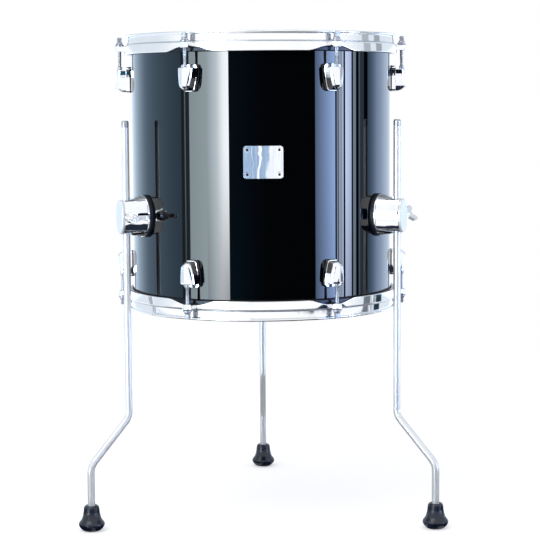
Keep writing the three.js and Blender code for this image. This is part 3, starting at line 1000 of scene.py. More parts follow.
    def piece(self, name: str, finish: Finish, place: Matrix, crease: float = 32) -> bpy.types.Object:
        """Sets a copy of the blank down in the model's frame, in metres.

        Args:
            name: the piece's name.
            finish: its finish.
            place: where it goes, in millimetres.
            crease: angle in degrees from which an edge stays sharp.

        Returns:
            The finished object, at the origin, with its place in its mesh.
        """
        mesh = bpy.data.meshes.new(name)
        self.bm.to_mesh(mesh)
        mesh.transform(Matrix.Scale(MM, 4) @ place)
        mesh.shade_smooth()
        mesh.set_sharp_from_angle(angle=math.radians(crease))
        mesh.materials.append(finish.material())
        made = bpy.data.objects.new(name, mesh)
        bpy.context.scene.collection.objects.link(made)
        shading = made.modifiers.new("even_shading", "WEIGHTED_NORMAL")
        shading.keep_sharp = True
        return made


def rectangle(width: float, height: float, rounding: float, centre: float = 0.0) -> list[Corner]:
    """Corners of an upright rectangle.

    Args:
        width: its width.
        height: its height.
        rounding: rounding of its corners.
        centre: height of its centre.

    Returns:
        Its four corners, in order.
    """
    w, h = width / 2, height / 2
    return [(x, centre + z, rounding) for x, z in ((-w, -h), (w, -h), (w, h), (-w, h))]


def shield(width: float, tip: float, height: float, top: float, corner: float) -> list[Corner]:
    """Corners of a shield: a flat top, sides that draw in and a rounded foot.

    Args:
        width: width at the top.
        tip: width at the foot.
        height: its height.
        top: height of its top.
        corner: rounding of the top corners.

    Returns:
        Its corners, in order.
    """
    w, t = width / 2, tip / 2
    right = [
        (t, top - height, tip * FOOT_ROUND), (w * WAIST_WIDTH, top - height * WAIST_DROP, height * WAIST_ROUND),
        (w, top, corner),
    ]
    left = [(-x, z, rounding) for x, z, rounding in right]
    return [left[0], *right, left[2], left[1]]


def bar(radius: float, low: float, high: float, steps: int = 32, rounding: float = 0.4) -> Blank:
    """A round bar along Z.

    Args:
        radius: its radius.
        low: its lower end.
        high: its upper end.
        steps: steps round it.
        rounding: rounding of its end edges.

    Returns:
        The bar.
    """
    return Blank.turned([(0, low, 0), (radius, low, rounding), (radius, high, rounding), (0, high, 0)], steps)


def sleeve(inner: float, outer: float, low: float, high: float, steps: int = 48, rounding: float = 0.3) -> Blank:
    """A tube along Z.

    Args:
        inner: its inner radius.
        outer: its outer radius.
        low: its lower end.
        high: its upper end.
        steps: steps round it.
        rounding: rounding of its edges.

    Returns:
        The tube.
    """
    corners = [(inner, low, rounding), (outer, low, rounding), (outer, high, rounding), (inner, high, rounding)]
    return Blank.turned(corners, steps)


def about(azimuth: float, height: float = SHELL_MIDDLE, side: Side = Side.BATTER) -> Matrix:
    """Turns a piece made at the front of the drum to its own azimuth.

    Args:
        azimuth: degrees from the front, towards the right.
        height: height of the piece's own zero.
        side: which end of the drum, where the resonant end is the batter end turned over.

    Returns:
        The matrix, in millimetres.
    """
    set_down = Matrix.Translation((0, DRUM_AXIS_Y, height))
    turn_over = Matrix.Rotation(math.pi, 4, "X") if side is Side.RESONANT else Matrix.Identity(4)
    return set_down @ turn_over @ Matrix.Rotation(math.radians(azimuth), 4, "Z")


OUTWARD = Matrix.Rotation(math.pi / 2, 4, "X")
SIDEWAYS = Matrix.Rotation(math.pi / 2, 4, "Y")


# The drum


@dataclass
class Vessel:
    """The shell with its badge and air vent."""

    radius: float = 177.8
    wall: float = 7.0
    depth: float = 355.6
    edge_width: float = 4.2
    edge_round: float = 2.4
    badge_width: float = 51.4
    badge_height: float = 42.0
    badge_corner: float = 4.0
    badge_thickness: float = 1.3
    badge_above_middle: float = 18.4
    badge_azimuth: float = 0.8
    pin_across: float = 41.0
    pin_up: float = 31.5
    pin_radius: float = 1.7
    vent_azimuth: float = 120.0
    vent_bore: float = 5.0

    def shell(self) -> None:
        """Builds the shell, with its bearing edges and air hole."""
        inner, half = self.radius - self.wall, self.depth / 2
        peak, near = inner + self.edge_width, 8.0
        inside, outside = half - self.edge_width, half - self.edge_round
        blank = Blank.turned([
            (inner, -inside, 0.6), (peak, -half, 0.5), (self.radius, -outside, 1.2), (self.radius, -near, 0),
            (self.radius, near, 0), (self.radius, outside, 1.2), (peak, half, 0.5), (inner, inside, 0.6),
            (inner, near, 0), (inner, -near, 0),
        ], steps=240)
        hole = bar(self.vent_bore + 1.4, inner - 5, self.radius + 5).moved(OUTWARD)
        hole.moved(Matrix.Rotation(math.radians(self.vent_azimuth), 4, "Z"))
        made = blank.carved(hole).piece("drum_shell", LACQUER, about(0))
        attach(made, "drum")
        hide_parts("shell")

    def badge(self) -> None:
        """Builds the bare badge plate and its four pins."""
        inner = self.radius + 0.3
        outer = inner + self.badge_thickness
        plate = Blank.slab(rectangle(self.badge_width, self.badge_height, self.badge_corner), inner, outer, 8)
        plate.soften(0.5, 3, at_front(outer)).wrapped(3)
        place = about(self.badge_azimuth, SHELL_MIDDLE + self.badge_above_middle)
        made = plate.piece("badge_plate", BADGE_METAL, place, 40)
        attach(made, "drum")
        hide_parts("badge")
        pins = Blank()
        for across in (-1, 1):
            for up in (-1, 1):
                pin = bar(self.pin_radius, self.radius - 1.5, outer + 0.45, 20, 0.5).moved(OUTWARD)
                x = across * self.pin_across / 2
                sink = self.radius - math.sqrt(self.radius ** 2 - x * x)
                pins.joined(pin.moved(Matrix.Translation((x, sink, up * self.pin_up / 2))))
        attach(pins.piece("badge_pins", PIN_STEEL, place), "drum")

    def vent(self) -> None:
        """Builds the rolled grommet of the air hole."""
        bore, tube, flange = self.vent_bore, self.vent_bore + 1.2, self.vent_bore + 4.5
        blank = Blank.turned([
            (bore, -self.wall - 1.8, 0.3), (tube, -self.wall - 1.8, 0.4), (tube, 0.6, 0), (flange, 0.6, 0.5),
            (flange - 1, 2.9, 1.0), (bore + 0.6, 2.9, 0.8), (bore, 1.4, 0.6),
        ], steps=56)
        blank.moved(OUTWARD).moved(Matrix.Translation((0, -self.radius, 0)))
        made = blank.piece("air_vent", CAST_CHROME, about(self.vent_azimuth), 40)
        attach(made, "drum")
        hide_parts("air_vent_grommet")

    def build(self) -> None:
        """Builds the shell, badge and vent."""
        self.shell()
        self.badge()
        self.vent()
        LOG.info("vessel: shell, badge and air vent")


@dataclass
class DrumEnd:
    """A head, its flesh hoop and its triple-flanged rim."""

    side: Side
    edge_level: float = 177.8
    film: float = 0.5
    lip_level: float = 185.3
    shelf_level: float = 171.5
    skirt_level: float = 159.3
    arch_rise: float = 6.2
    arch_flat: float = 9.0
    arch_foot: float = 37.0
    ear_root: float = 183.6
    ear_half: float = 6.7
    ear_draft: float = 0.12
    ear_thickness: float = 3.0
    ear_drop: float = 4.5
    ear_nose: float = 2.4
    rod_circle: float = 193.0
    rod_hole: float = 3.1
    azimuths: tuple[int, ...] = (30, 90, 150, 210, 270, 330)

    def head(self) -> None:
        """Builds the film with its collar, and lays its rolled edge into the hoop."""
        under = self.edge_level + 0.3
        top = under + self.film
        blank = Blank.turned([
            (0, under, 0), (174.4, under, 1.2), (178.1, under - 2.4, 1.2), (178.1, top - 15, 0),
            (178.6, top - 15, 0), (178.6, top - 2.4, 1.6), (174.9, top, 1.6), (60, top, 0), (0, top, 0),
        ], steps=240)
        finish = HEAD_COATING if self.side is Side.BATTER else HEAD_CLEAR
        made = blank.piece(f"{self.side.value}_head_film", finish, about(0, side=self.side), 40)
        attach(made, "drum")
        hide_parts(f"{self.side.value}_head")

    def flesh_hoop(self) -> None:
        """Builds the hollow-formed hoop that holds the film."""
        top, bottom = self.shelf_level - 2.3, self.shelf_level - 12.3
        blank = Blank.turned([
            (178.9, bottom, 1.0), (183.9, bottom, 1.2), (183.9, top, 1.2), (181.6, top, 0.5), (181.2, top - 1.1, 0.3),
            (180.6, top - 1.1, 0.3), (180.2, top, 0.5), (178.9, top, 0.6),
        ], steps=240)
        # The hoop's near-black finish is painted shade.
        made = blank.piece(f"{self.side.value}_flesh_ring", SHADED_HOOP_METAL, about(0, side=self.side), 40)
        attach(made, "drum")
        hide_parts(f"{self.side.value}_flesh_hoop")

    def _arched(self, point: Vector) -> Vector:
        """Lifts the skirt's lower edge over each ear.

        Args:
            point: a point of the rim.

        Returns:
            Its new place.
        """
        if point.z > self.skirt_level + 3:
            return point
        azimuth = math.degrees(math.atan2(point.x, -point.y))
        away = abs((azimuth - self.azimuths[0] + 30) % 60 - 30)
        along = math.radians(away) * math.hypot(point.x, point.y)
        share = min(max((self.arch_foot - along) / (self.arch_foot - self.arch_flat), 0.0), 1.0)
        point.z += self.arch_rise * share * share * (3 - 2 * share)
        return point

    def ear(self) -> Blank:
        """Presses one ear: a tongue with a turned-down nose round the rod's hole.

        Returns:
            The ear, at the front of the drum.
        """
        reach, half = self.rod_circle + self.ear_half, self.ear_half
        low = self.shelf_level - self.ear_thickness - self.ear_drop
        blank = Blank()
        root, round_end = self.ear_root, half - 0.05
        corners = [(-half, -root, 0), (-half, -reach, round_end), (half, -reach, round_end), (half, -root, 0)]
        blank.outline([(x, y, low, rounding) for x, y, rounding in corners], 12)
        blank.thickened((0, 0, self.shelf_level - low))

        def draft(point: Vector) -> Vector:
            """Draws the nose in towards its lower edge."""
            share = 1 - self.ear_draft * (self.shelf_level - point.z) / (self.shelf_level - low)
            return Vector((point.x * share, (point.y + self.rod_circle) * share - self.rod_circle, point.z))

        blank.reshaped(draft)
        blank.soften(1.3, 4, past(self.shelf_level, 2)).soften(0.5, 2, past(low, 2, -1))
        inside, ceiling = half - self.ear_nose, self.shelf_level - self.ear_thickness
        hollow = Blank.turned([(0, low - 2, 0), (inside, low - 2, 0), (inside, ceiling, 1.0), (0, ceiling, 0)], 48)
        at_rod = Matrix.Translation((0, -self.rod_circle, 0))
        hole = bar(self.rod_hole, low, self.shelf_level + 2, 32, 0)
        return blank.carved(hollow.moved(at_rod), hole.moved(at_rod))

    def rim(self) -> None:
        """Builds the pressed rim, its arches and its six ears."""
        shelf, skirt, lip = self.shelf_level, self.skirt_level, self.lip_level
        blank = Blank.turned([
            (180.4, shelf - 2, 1.0), (183.7, shelf - 2, 0.8), (184.2, skirt, 0.6), (186.2, skirt, 0.9),
            (185.6, shelf, 1.7), (183.0, shelf, 1.1), (182.3, lip - 3.4, 0.9), (185.2, lip - 3.1, 1.3),
            (185.4, lip, 1.7), (180.6, lip, 1.7),
        ], steps=480, segments=4)
        blank.reshaped(self._arched)
        ear = self.ear()
        for azimuth in self.azimuths:
            blank.joined(ear.copy().moved(Matrix.Rotation(math.radians(azimuth), 4, "Z")))
        made = blank.piece(f"{self.side.value}_hoop", RIM_CHROME, about(0, side=self.side), 50)
        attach(made, "drum")
        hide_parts(f"{self.side.value}_rim")

    def build(self) -> None:
        """Builds the head, the flesh hoop and the rim."""
        self.head()
        self.flesh_hoop()
        self.rim()
        LOG.info("%s end: head, flesh hoop and rim", self.side.value)


@dataclass
class LugSet:
    """The lugs of one end, each with its gasket, screws, swivel nut and tension rod."""

    side: Side
    shell_radius: float = 177.8
    shell_inner: float = 170.8
    seat: float = 179.3
    plate_top: float = 143.3
    plate_height: float = 34.9
    plate_width: float = 24.4
    plate_tip: float = 15.4
    plate_edge: float = 0.8
    plate_thickness: float = 5.2
    body_top: float = 138.8
    body_height: float = 29.6
    base_draft: float = 0.36
    draft_power: float = 1.7
    body_width: float = 20.4
    body_flare: float = 1.9
    top_corner: float = 3.6
    shoulder: float = 3.0
    shoulder_round: float = 3.2
    ridge_round: float = 2.4
    face_share: float = 0.85
    front: float = 200.5
    rod_circle: float = 193.0
    rod_radius: float = 2.25
    nut_radius: float = 3.4
    rod_end: float = 118.8
    thread_top: float = 153.0
    pitch: float = 1.06
    thread_depth: float = 0.5
    washer_bottom: float = 171.8
    head_side: float = 6.0
    head_height: float = 6.6
    gasket_margin: float = 0.6
    gasket_corner: float = 4.8
    screw_drops: tuple[float, ...] = (9.0, 27.0)
    screw_washer: float = 5.2
    screw_head: float = 4.1
    rod_washer: float = 6.0
    rod_collar: float = 4.6
    clearance: float = 0.15
    # Share of the body's height down from its top, share of the face's width there, and how far short of the front.
    profile: tuple[tuple[float, float, float], ...] = (
        (0.0, 1.0, 2.5), (0.1, 0.98, 2.1), (0.22, 0.955, 1.68), (0.34, 0.925, 1.3), (0.46, 0.885, 0.95),
        (0.57, 0.835, 0.64), (0.67, 0.775, 0.34), (0.74, 0.725, 0.1), (0.77, 0.7, 0.0), (0.8, 0.675, 0.3),
        (0.86, 0.61, 1.7), (0.92, 0.52, 3.7), (0.97, 0.42, 6.0), (1.0, 0.33, 8.4),
    )

    def casting(self) -> Blank:
        """Casts the lug: a shield plate and a ridged body with a chin.

        Returns:
            The casting, at the front of the drum.
        """
        outer = self.seat + self.plate_thickness
        outline = shield(self.plate_width, self.plate_tip, self.plate_height, self.plate_top, self.top_corner)
        plate = Blank.slab(outline, self.seat, outer, 8).soften(self.plate_edge, 3, at_front(outer)).wrapped(2)
        top, back, front = self.body_top, self.seat + 1, self.front
        half, height = self.body_width / 2, self.body_height
        stations = [(top - height * drop, half, front - short) for drop, _, short in self.profile]
        reach = stations[0][2]
        base, shoulder = half + self.body_flare, reach - self.shoulder
        section = [(-base, back, 0), (-half, shoulder, self.shoulder_round), (0, reach, self.ridge_round),
                   (half, shoulder, self.shoulder_round), (base, back, 0)]

        def taper(point: Vector) -> Vector:
            """Draws the face in faster than the base, down to the chin.

            Args:
                point: a point of the body.

            Returns:
                Its new place.
            """
            drop, narrow, short = min(self.profile, key=lambda share: abs(top - height * share[0] - point.z))
            depth = min((-point.y - back) / (front - short - back) / self.face_share, 1.0)
            wide = 1 - self.base_draft * drop ** self.draft_power
            point.x *= wide + (narrow - wide) * depth
            return point

        body = Blank.drawn(section, stations, back).reshaped(taper).soften(0.9, 3, past(top, 2), 40)
        socket = bar(self.nut_radius + 0.35, self.rod_end - 2, self.body_top + 3, 32, 0)
        return plate.joined(body.carved(socket.moved(self._at_rod())))

    def _at_rod(self) -> Matrix:
        """Moves a piece from the axis out to the rod."""
        return Matrix.Translation((0, -self.rod_circle, 0))

    def nut(self) -> Blank:
        """Turns the swivel nut that stands out of the casting's top.

        Returns:
            The nut, at the front of the drum.
        """
        bore, radius, low, top = self.rod_radius + self.clearance, self.nut_radius, self.rod_end - 1, self.plate_top
        return Blank.turned([
            (bore, low, 0), (radius, low, 0.4), (radius, top - 0.9, 0.4), (radius - 0.5, top, 0.5), (bore, top, 0.3),
        ], steps=40).moved(self._at_rod())

    def gasket(self) -> Blank:
        """Cuts the rubber sheet under the casting.

        Returns:
            The gasket, at the front of the drum.
        """
        sizes = (self.plate_width, self.plate_tip, self.plate_height)
        width, tip, height = (size + self.gasket_margin for size in sizes)
        outline = shield(width, tip, height, self.plate_top + self.gasket_margin / 2, self.gasket_corner)
        return Blank.slab(outline, self.shell_radius + 0.02, self.seat - 0.02, 8).wrapped(2)

    def screws(self) -> Blank:
        """Turns the two screws and washers that hold the casting from inside the shell.

        Returns:
            All four, at the front of the drum.
        """
        made, inner = Blank(), self.shell_inner
        for drop in self.screw_drops:
            place = Matrix.Translation((0, 0, self.plate_top - drop)) @ OUTWARD
            washer = bar(self.screw_washer, inner - 1.2, inner - 0.05, 32, 0.25)
            head = Blank.turned([
                (0, inner - 4.2, 0), (self.screw_head - 0.7, inner - 4.2, 1.6), (self.screw_head, inner - 1.2, 0.2),
                (0, inner - 1.2, 0),
            ], steps=32)
            made.joined(washer.moved(place), head.moved(place))
        return made

    def rod(self) -> Blank:
        """Turns the tension rod: threaded shank, washer, collar and square head.

        Returns:
            The rod, along Z at the axis.
        """
        washer, radius, core = self.washer_bottom, self.rod_radius, self.rod_radius - 0.35
        blank = Blank.turned([
            (0, self.rod_end, 0), (core, self.rod_end, 0.4), (core, self.thread_top, 0),
            (radius, self.thread_top + 0.8, 0.1), (radius, washer + 1, 0), (0, washer + 1, 0),
        ], steps=28)
        thread = Blank()
        low, high, root = self.rod_end + 0.5, self.rod_end + 1.15, radius - self.thread_depth
        ridge = [(root, low), (radius, low + 0.24), (radius, high - 0.24), (root, high)]
        thread.bm.faces.new([thread.bm.verts.new((across, 0, level)) for across, level in ridge])
        turns = (self.thread_top - self.rod_end - 1.0) / self.pitch
        steps = int(turns * 18)
        bmesh.ops.spin(
            thread.bm, geom=thread.bm.faces[:] + thread.bm.edges[:] + thread.bm.verts[:], cent=(0, 0, 0),
            axis=(0, 0, 1), dvec=(0, 0, self.pitch * turns / steps), angle=2 * math.pi * turns, steps=steps,
            use_merge=False,
        )
        bmesh.ops.recalc_face_normals(thread.bm, faces=thread.bm.faces[:])
        disc = sleeve(radius - 0.1, self.rod_washer, washer, washer + 1.9, 48, 0.4)
        collar = Blank.turned([
            (0, washer + 1.9, 0), (self.rod_collar, washer + 1.9, 0.4), (self.rod_collar, washer + 3.2, 0.6),
            (self.rod_collar - 1, washer + 5.4, 1.2), (0, washer + 5.4, 0),
        ], steps=40)
        head = Blank.block((0, 0, washer + 8.2), (self.head_side, self.head_side, self.head_height)).soften(0.7, 3)
        return blank.joined(thread, disc, collar, head)

    def build(self, azimuths: Sequence[int]) -> None:
        """Builds every lug of this end.

        Args:
            azimuths: the lugs' places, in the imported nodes' order.
        """
        blanks = {
            "casting": (self.casting(), CAST_CHROME, 28), "swivel_nut": (self.nut(), ROD_CHROME, 40),
            "gasket": (self.gasket(), GASKET_RUBBER, 40), "screws": (self.screws(), INNER_STEEL, 40),
        }
        rod = self.rod().moved(self._at_rod())
        side = self.side.value
        for index, azimuth in enumerate(azimuths, start=1):
            place = about(azimuth, side=self.side)
            for part, (blank, finish, crease) in blanks.items():
                made = blank.piece(f"{side}_lug_{part}_{index}", finish, place, crease)
                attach(made, "drum")
                if part == "casting":
                    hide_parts(f"{side}_lug_{index}")
            tension = rod.piece(f"{side}_rod_{index}", ROD_CHROME, place, 40)
            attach(tension, f"{side}_tension_rod_{index}")
            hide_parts(f"{side}_tension_rod_{index}")
        LOG.info("%s end: %d lugs and rods", side, len(azimuths))


# The legs


@dataclass
class LegStation:
    """A bracket on the shell, with its bush, wing bolt, leg and foot."""

    name: str
    azimuth: float
    wing_angle: float
    height: float = 414.5
    shell_radius: float = 177.8
    shell_inner: float = 170.8
    seat: float = 182.4
    flange_width: float = 39.0
    flange_height: float = 55.0
    flange_thickness: float = 1.4
    pad_margin: float = 1.6
    body_width: float = 35.8
    body_height: float = 54.2
    face_width: float = 21.0
    face_height: float = 44.5
    cap_thickness: float = 3.2
    cap_gap: float = 0.6
    cap_groove: float = 3.0
    squareness: float = 0.82
    reach: float = 216.5
    axis: float = 206.5
    bush_inner: float = 5.2
    bush_outer: float = 7.0
    bush_half: float = 20.0
    boss_radius: float = 7.5
    boss_end: float = 23.0
    leg_radius: float = 4.9
    leg_top: float = 541.0
    leg_tip: float = 9.0
    upper_bend: float = 147.0
    lower_bend: float = 86.0
    bend_radius: float = 22.0
    foot_circle: float = 263.4
    plate_width: float = 28.0
    plate_height: float = 50.0
    plate_corner: float = 6.0
    plate_thickness: float = 2.0
    bolt_spacing: float = 38.0
    bolt_washer: float = 6.2
    bolt_head: float = 5.0
    bolt_shank: float = 2.5
    tapped_bore: float = 3.3
    hub_radius: float = 5.6
    hub_neck: float = 4.2
    wing_shank: float = 3.0
    wing_half: float = 11.0
    wing_length: float = 18.6
    wing_thickness: float = 4.8
    leg_end: float = 8.6
    bend_steps: int = 16

    def _place(self) -> Matrix:
        """Where the bracket's own zero goes."""
        return about(self.azimuth, self.height)

    def _at_leg(self) -> Matrix:
        """Moves a piece from the drum's axis out to the leg's."""
        return Matrix.Translation((0, -self.axis, 0))

    def bracket(self) -> None:
        """Casts the bracket: an oval flange, a barrel that draws in, its cap, and the boss of the wing bolt."""
        outer, split = self.seat + self.flange_thickness, self.reach - self.cap_thickness
        flange = Blank.oval(self.flange_width, self.flange_height, self.seat, outer)
        flange.soften(0.8, 3, at_front(outer)).wrapped(3)
        back = self.seat + 1.0

        def draw_in(point: Vector) -> Vector:
            """Narrows the barrel evenly towards its outer face.

            Args:
                point: a point of the barrel.

            Returns:
                Its new place.
            """
            along = (-point.y - back) / (self.reach - back)
            point.x *= 1 + (self.face_width / self.body_width - 1) * along
            point.z *= 1 + (self.face_height / self.body_height - 1) * along
            return point

        body = Blank.oval(self.body_width, self.body_height, back, split, self.squareness)
        body.sliced([-(back + (split - back) * index / 8) for index in range(1, 8)], 1)
        body.soften(0.6, 2, at_front(split)).reshaped(draw_in)
        cap = Blank.oval(self.body_width, self.body_height, split + self.cap_gap, self.reach, self.squareness)
        cap.soften(1.5, 5, at_front(self.reach)).reshaped(draw_in)
        lid = cap.piece(f"{self.name}_bracket_cap", CAP_CHROME, self._place(), 40)
        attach(lid, "drum")
        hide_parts(f"{self.name}_leg_bracket")
        width, height = (size - self.cap_groove for size in (self.body_width, self.body_height))
        core = Blank.oval(width, height, split - 1, split + self.cap_gap + 1, self.squareness)
        boss = bar(self.boss_radius, 0, self.boss_end, 48, 1.0).moved(SIDEWAYS).moved(self._at_leg())
        bore = bar(self.bush_outer + 0.25, -40, 40, 48, 0).moved(self._at_leg())
        tapped = bar(self.tapped_bore, 0, 30, 32, 0).moved(SIDEWAYS).moved(self._at_leg())
        blank = body.carved(bore).joined(core.reshaped(draw_in), boss.carved(bore, tapped), flange)
        made = blank.piece(f"{self.name}_bracket", BRACKET_CHROME, self._place(), 28)
        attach(made, "drum")
        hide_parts(f"{self.name}_leg_bracket")

    def gasket(self) -> None:
        """Builds the rubber pad between bracket and shell."""
        outer = self.seat - 0.05
        width, height = (size + self.pad_margin for size in (self.flange_width, self.flange_height))
        pad = Blank.oval(width, height, self.shell_radius + 0.05, outer).soften(0.8, 3, at_front(outer)).wrapped(3)
        made = pad.piece(f"{self.name}_pad", GASKET_RUBBER, self._place(), 40)
        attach(made, "drum")
        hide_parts(f"{self.name}_bracket_gasket")

    def inner_plate(self) -> None:
        """Builds the plate inside the shell, with the two bolts' heads and washers."""
        outer = self.shell_inner - 0.3
        outline = rectangle(self.plate_width, self.plate_height, self.plate_corner)
        plate = Blank.slab(outline, outer - self.plate_thickness, outer, 6).soften(0.3, 2).wrapped(3)
        for side in (-1, 1):
            level = Matrix.Translation((0, 0, side * self.bolt_spacing / 2))
            washer = bar(self.bolt_washer, outer - 3.4, outer - 1.8, 40, 0.3).moved(OUTWARD)
            head = bar(self.bolt_head, outer - 6.2, outer - 3.4, 6, 0).moved(OUTWARD).soften(0.4, 2)
            shank = bar(self.bolt_shank, outer - 2, self.seat + 6.8, 24, 0.3).moved(OUTWARD)
            plate.joined(washer.moved(level), head.moved(level), shank.moved(level))
        made = plate.piece(f"{self.name}_inner_plate", INNER_STEEL, self._place(), 35)
        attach(made, "drum")
        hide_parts(f"{self.name}_bracket_bolt_plate")

    def bush(self) -> None:
        """Builds the split nylon bush."""
        tube = sleeve(self.bush_inner, self.bush_outer, -self.bush_half, self.bush_half, 56, 0.5)
        slit = Blank.block((0, self.bush_outer - 0.5, 0), (1.2, 5.0, 60.0))
        made = tube.carved(slit).moved(self._at_leg()).piece(f"{self.name}_bush", BUSH_NYLON, self._place(), 40)
        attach(made, f"{self.name}_leg_bush")
        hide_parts(f"{self.name}_leg_bush")

    def wing_bolt(self) -> None:
        """Builds the wing bolt, along +X from the leg's axis, turned to its rest angle."""
        start, end = self.boss_end + 0.3, self.boss_end + 9.3
        tip, half = end + self.wing_length, self.wing_thickness / 2
        shank = bar(self.wing_shank, self.bush_outer + 0.4, start + 2, 28, 0.4)
        hub = Blank.turned([
            (0, start, 0), (self.hub_radius, start, 0.6), (self.hub_radius, start + 1.8, 0.5),
            (self.hub_neck + 0.3, start + 2.6, 0.5), (self.hub_neck, end, 1.6), (0, end + 1.2, 0),
        ], steps=44)
        shank.joined(hub).moved(SIDEWAYS)
        lobe = [
            (start + 2.5, 4.4, 0), (end - 1, 5.4, 3), (tip - 9, self.wing_half, 3), (tip - 1.2, self.wing_half, 3),
            (tip, 6.0, 2.2), (tip - 9, 2.4, 3),
        ]
        outline = [(x, -y, rounding) for x, y, rounding in lobe] + lobe[::-1]
        wings = Blank()
        wings.outline([(x, y, -half, rounding) for x, y, rounding in outline], 5)
        wings.thickened((0, 0, self.wing_thickness)).soften(1.9, 5, least_angle=60)
        shank.joined(wings)
        turn = Matrix.Rotation(math.radians(self.wing_angle), 4, "X")
        made = shank.moved(self._at_leg() @ turn).piece(f"{self.name}_wing", WING_CHROME, self._place(), 35)
        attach(made, f"{self.name}_wing_bolt")
        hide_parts(f"{self.name}_wing_bolt")

    def _leg_path(self) -> list[Vector]:
        """Stations along the leg's centre line, from its top down, at the leg's own axis.

        Returns:
            The stations.
        """
        kick = self.foot_circle - self.axis
        ends = [Vector((0, 0, self.leg_top - self.leg_tip)), Vector((0, 0, self.upper_bend)),
                Vector((0, -kick, self.lower_bend)), Vector((0, -kick, self.leg_end))]
        stations = [ends[0]]
        for before, corner, after in zip(ends, ends[1:], ends[2:]):
            into, out = (before - corner).normalized(), (after - corner).normalized()
            half = into.angle(out) / 2
            centre = corner + (into + out).normalized() * (self.bend_radius / math.sin(half))
            first = corner + into * (self.bend_radius / math.tan(half)) - centre
            axis = into.cross(out).normalized()
            sweep = math.pi - 2 * half
            for index in range(self.bend_steps + 1):
                stations.append(centre + Matrix.Rotation(-sweep * index / self.bend_steps, 3, axis) @ first)
        return [*stations, ends[-1]]

    def leg(self) -> None:
        """Bends the leg from one round bar and turns its top end."""
        stations = self._leg_path()
        blank = Blank()
        loops = []
        for index, station in enumerate(stations):
            before = stations[max(index - 1, 0)]
            after = stations[min(index + 1, len(stations) - 1)]
            along = (after - before).normalized()
            turn = Vector((0, 0, -1)).rotation_difference(along).to_matrix().to_4x4()
            made = bmesh.ops.create_circle(blank.bm, cap_ends=False, radius=self.leg_radius, segments=40)
            bmesh.ops.transform(blank.bm, matrix=Matrix.Translation(station) @ turn, verts=made["verts"])
            loops.append({edge for vert in made["verts"] for edge in vert.link_edges})
        for upper, lower in zip(loops, loops[1:]):
            bmesh.ops.bridge_loops(blank.bm, edges=list(upper | lower))
        ends = [edge for edge in blank.bm.edges if edge.is_boundary]
        bmesh.ops.holes_fill(blank.bm, edges=ends, sides=0)
        bmesh.ops.recalc_face_normals(blank.bm, faces=blank.bm.faces[:])
        made = blank.moved(self._at_leg()).piece(f"{self.name}_leg_bar", BAR_CHROME, about(self.azimuth, 0))
        radius, neck, seam = self.leg_radius, self.leg_radius - 0.5, self.leg_top - self.leg_tip
        tip = Blank.turned([
            (0, seam - 1, 0), (neck, seam - 1, 0), (neck, seam + 0.5, 0), (radius, seam + 0.5, 0.25),
            (radius, self.leg_top, 2.6), (0, self.leg_top, 0),
        ], steps=40, segments=6).moved(self._at_leg())
        end = tip.piece(f"{self.name}_leg_end", TIP_CHROME, about(self.azimuth, 0), 40)
        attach(end, f"{self.name}_leg")
        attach(made, f"{self.name}_leg")
        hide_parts(f"{self.name}_leg")

    def foot(self) -> None:
        """Moulds the bell-shaped rubber foot."""
        hole = self.leg_radius + 0.1
        blank = Blank.turned([
            (0, 0, 0), (10.5, 0, 1.6), (14.4, 2.7, 3.0), (17.2, 7.4, 2.4), (17.0, 10.6, 1.6), (13.2, 15.4, 6.0),
            (11.0, 21.0, 5.0), (10.1, 31.6, 0.8), (8.2, 34.0, 0.7), (hole + 0.8, 33.2, 0.5), (hole, 30, 0.5),
            (hole, 8.2, 0), (0, 8.2, 0),
        ], steps=64, segments=5)
        place = about(self.azimuth, 0) @ Matrix.Translation((0, -self.foot_circle, 0))
        made = blank.piece(f"{self.name}_rubber_foot", FOOT_RUBBER, place, 45)
        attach(made, f"{self.name}_leg")
        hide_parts(f"{self.name}_foot")

    def build(self) -> None:
        """Builds everything at this leg."""
        self.bracket()
        self.gasket()
        self.inner_plate()
        self.bush()
        self.wing_bolt()
        self.leg()
        self.foot()
        LOG.info("%s leg: bracket, bush, wing bolt, leg and foot", self.name)


# The studio


@dataclass(frozen=True)
class Panel:
    """A light panel that only mirror-like surfaces see, by its azimuth from the front."""

    start: float
    end: float
    strength: float
    end_strength: float
    low_share: float
    tint: Colour
    blur: float = 1.0
    end_low_share: Optional[float] = None


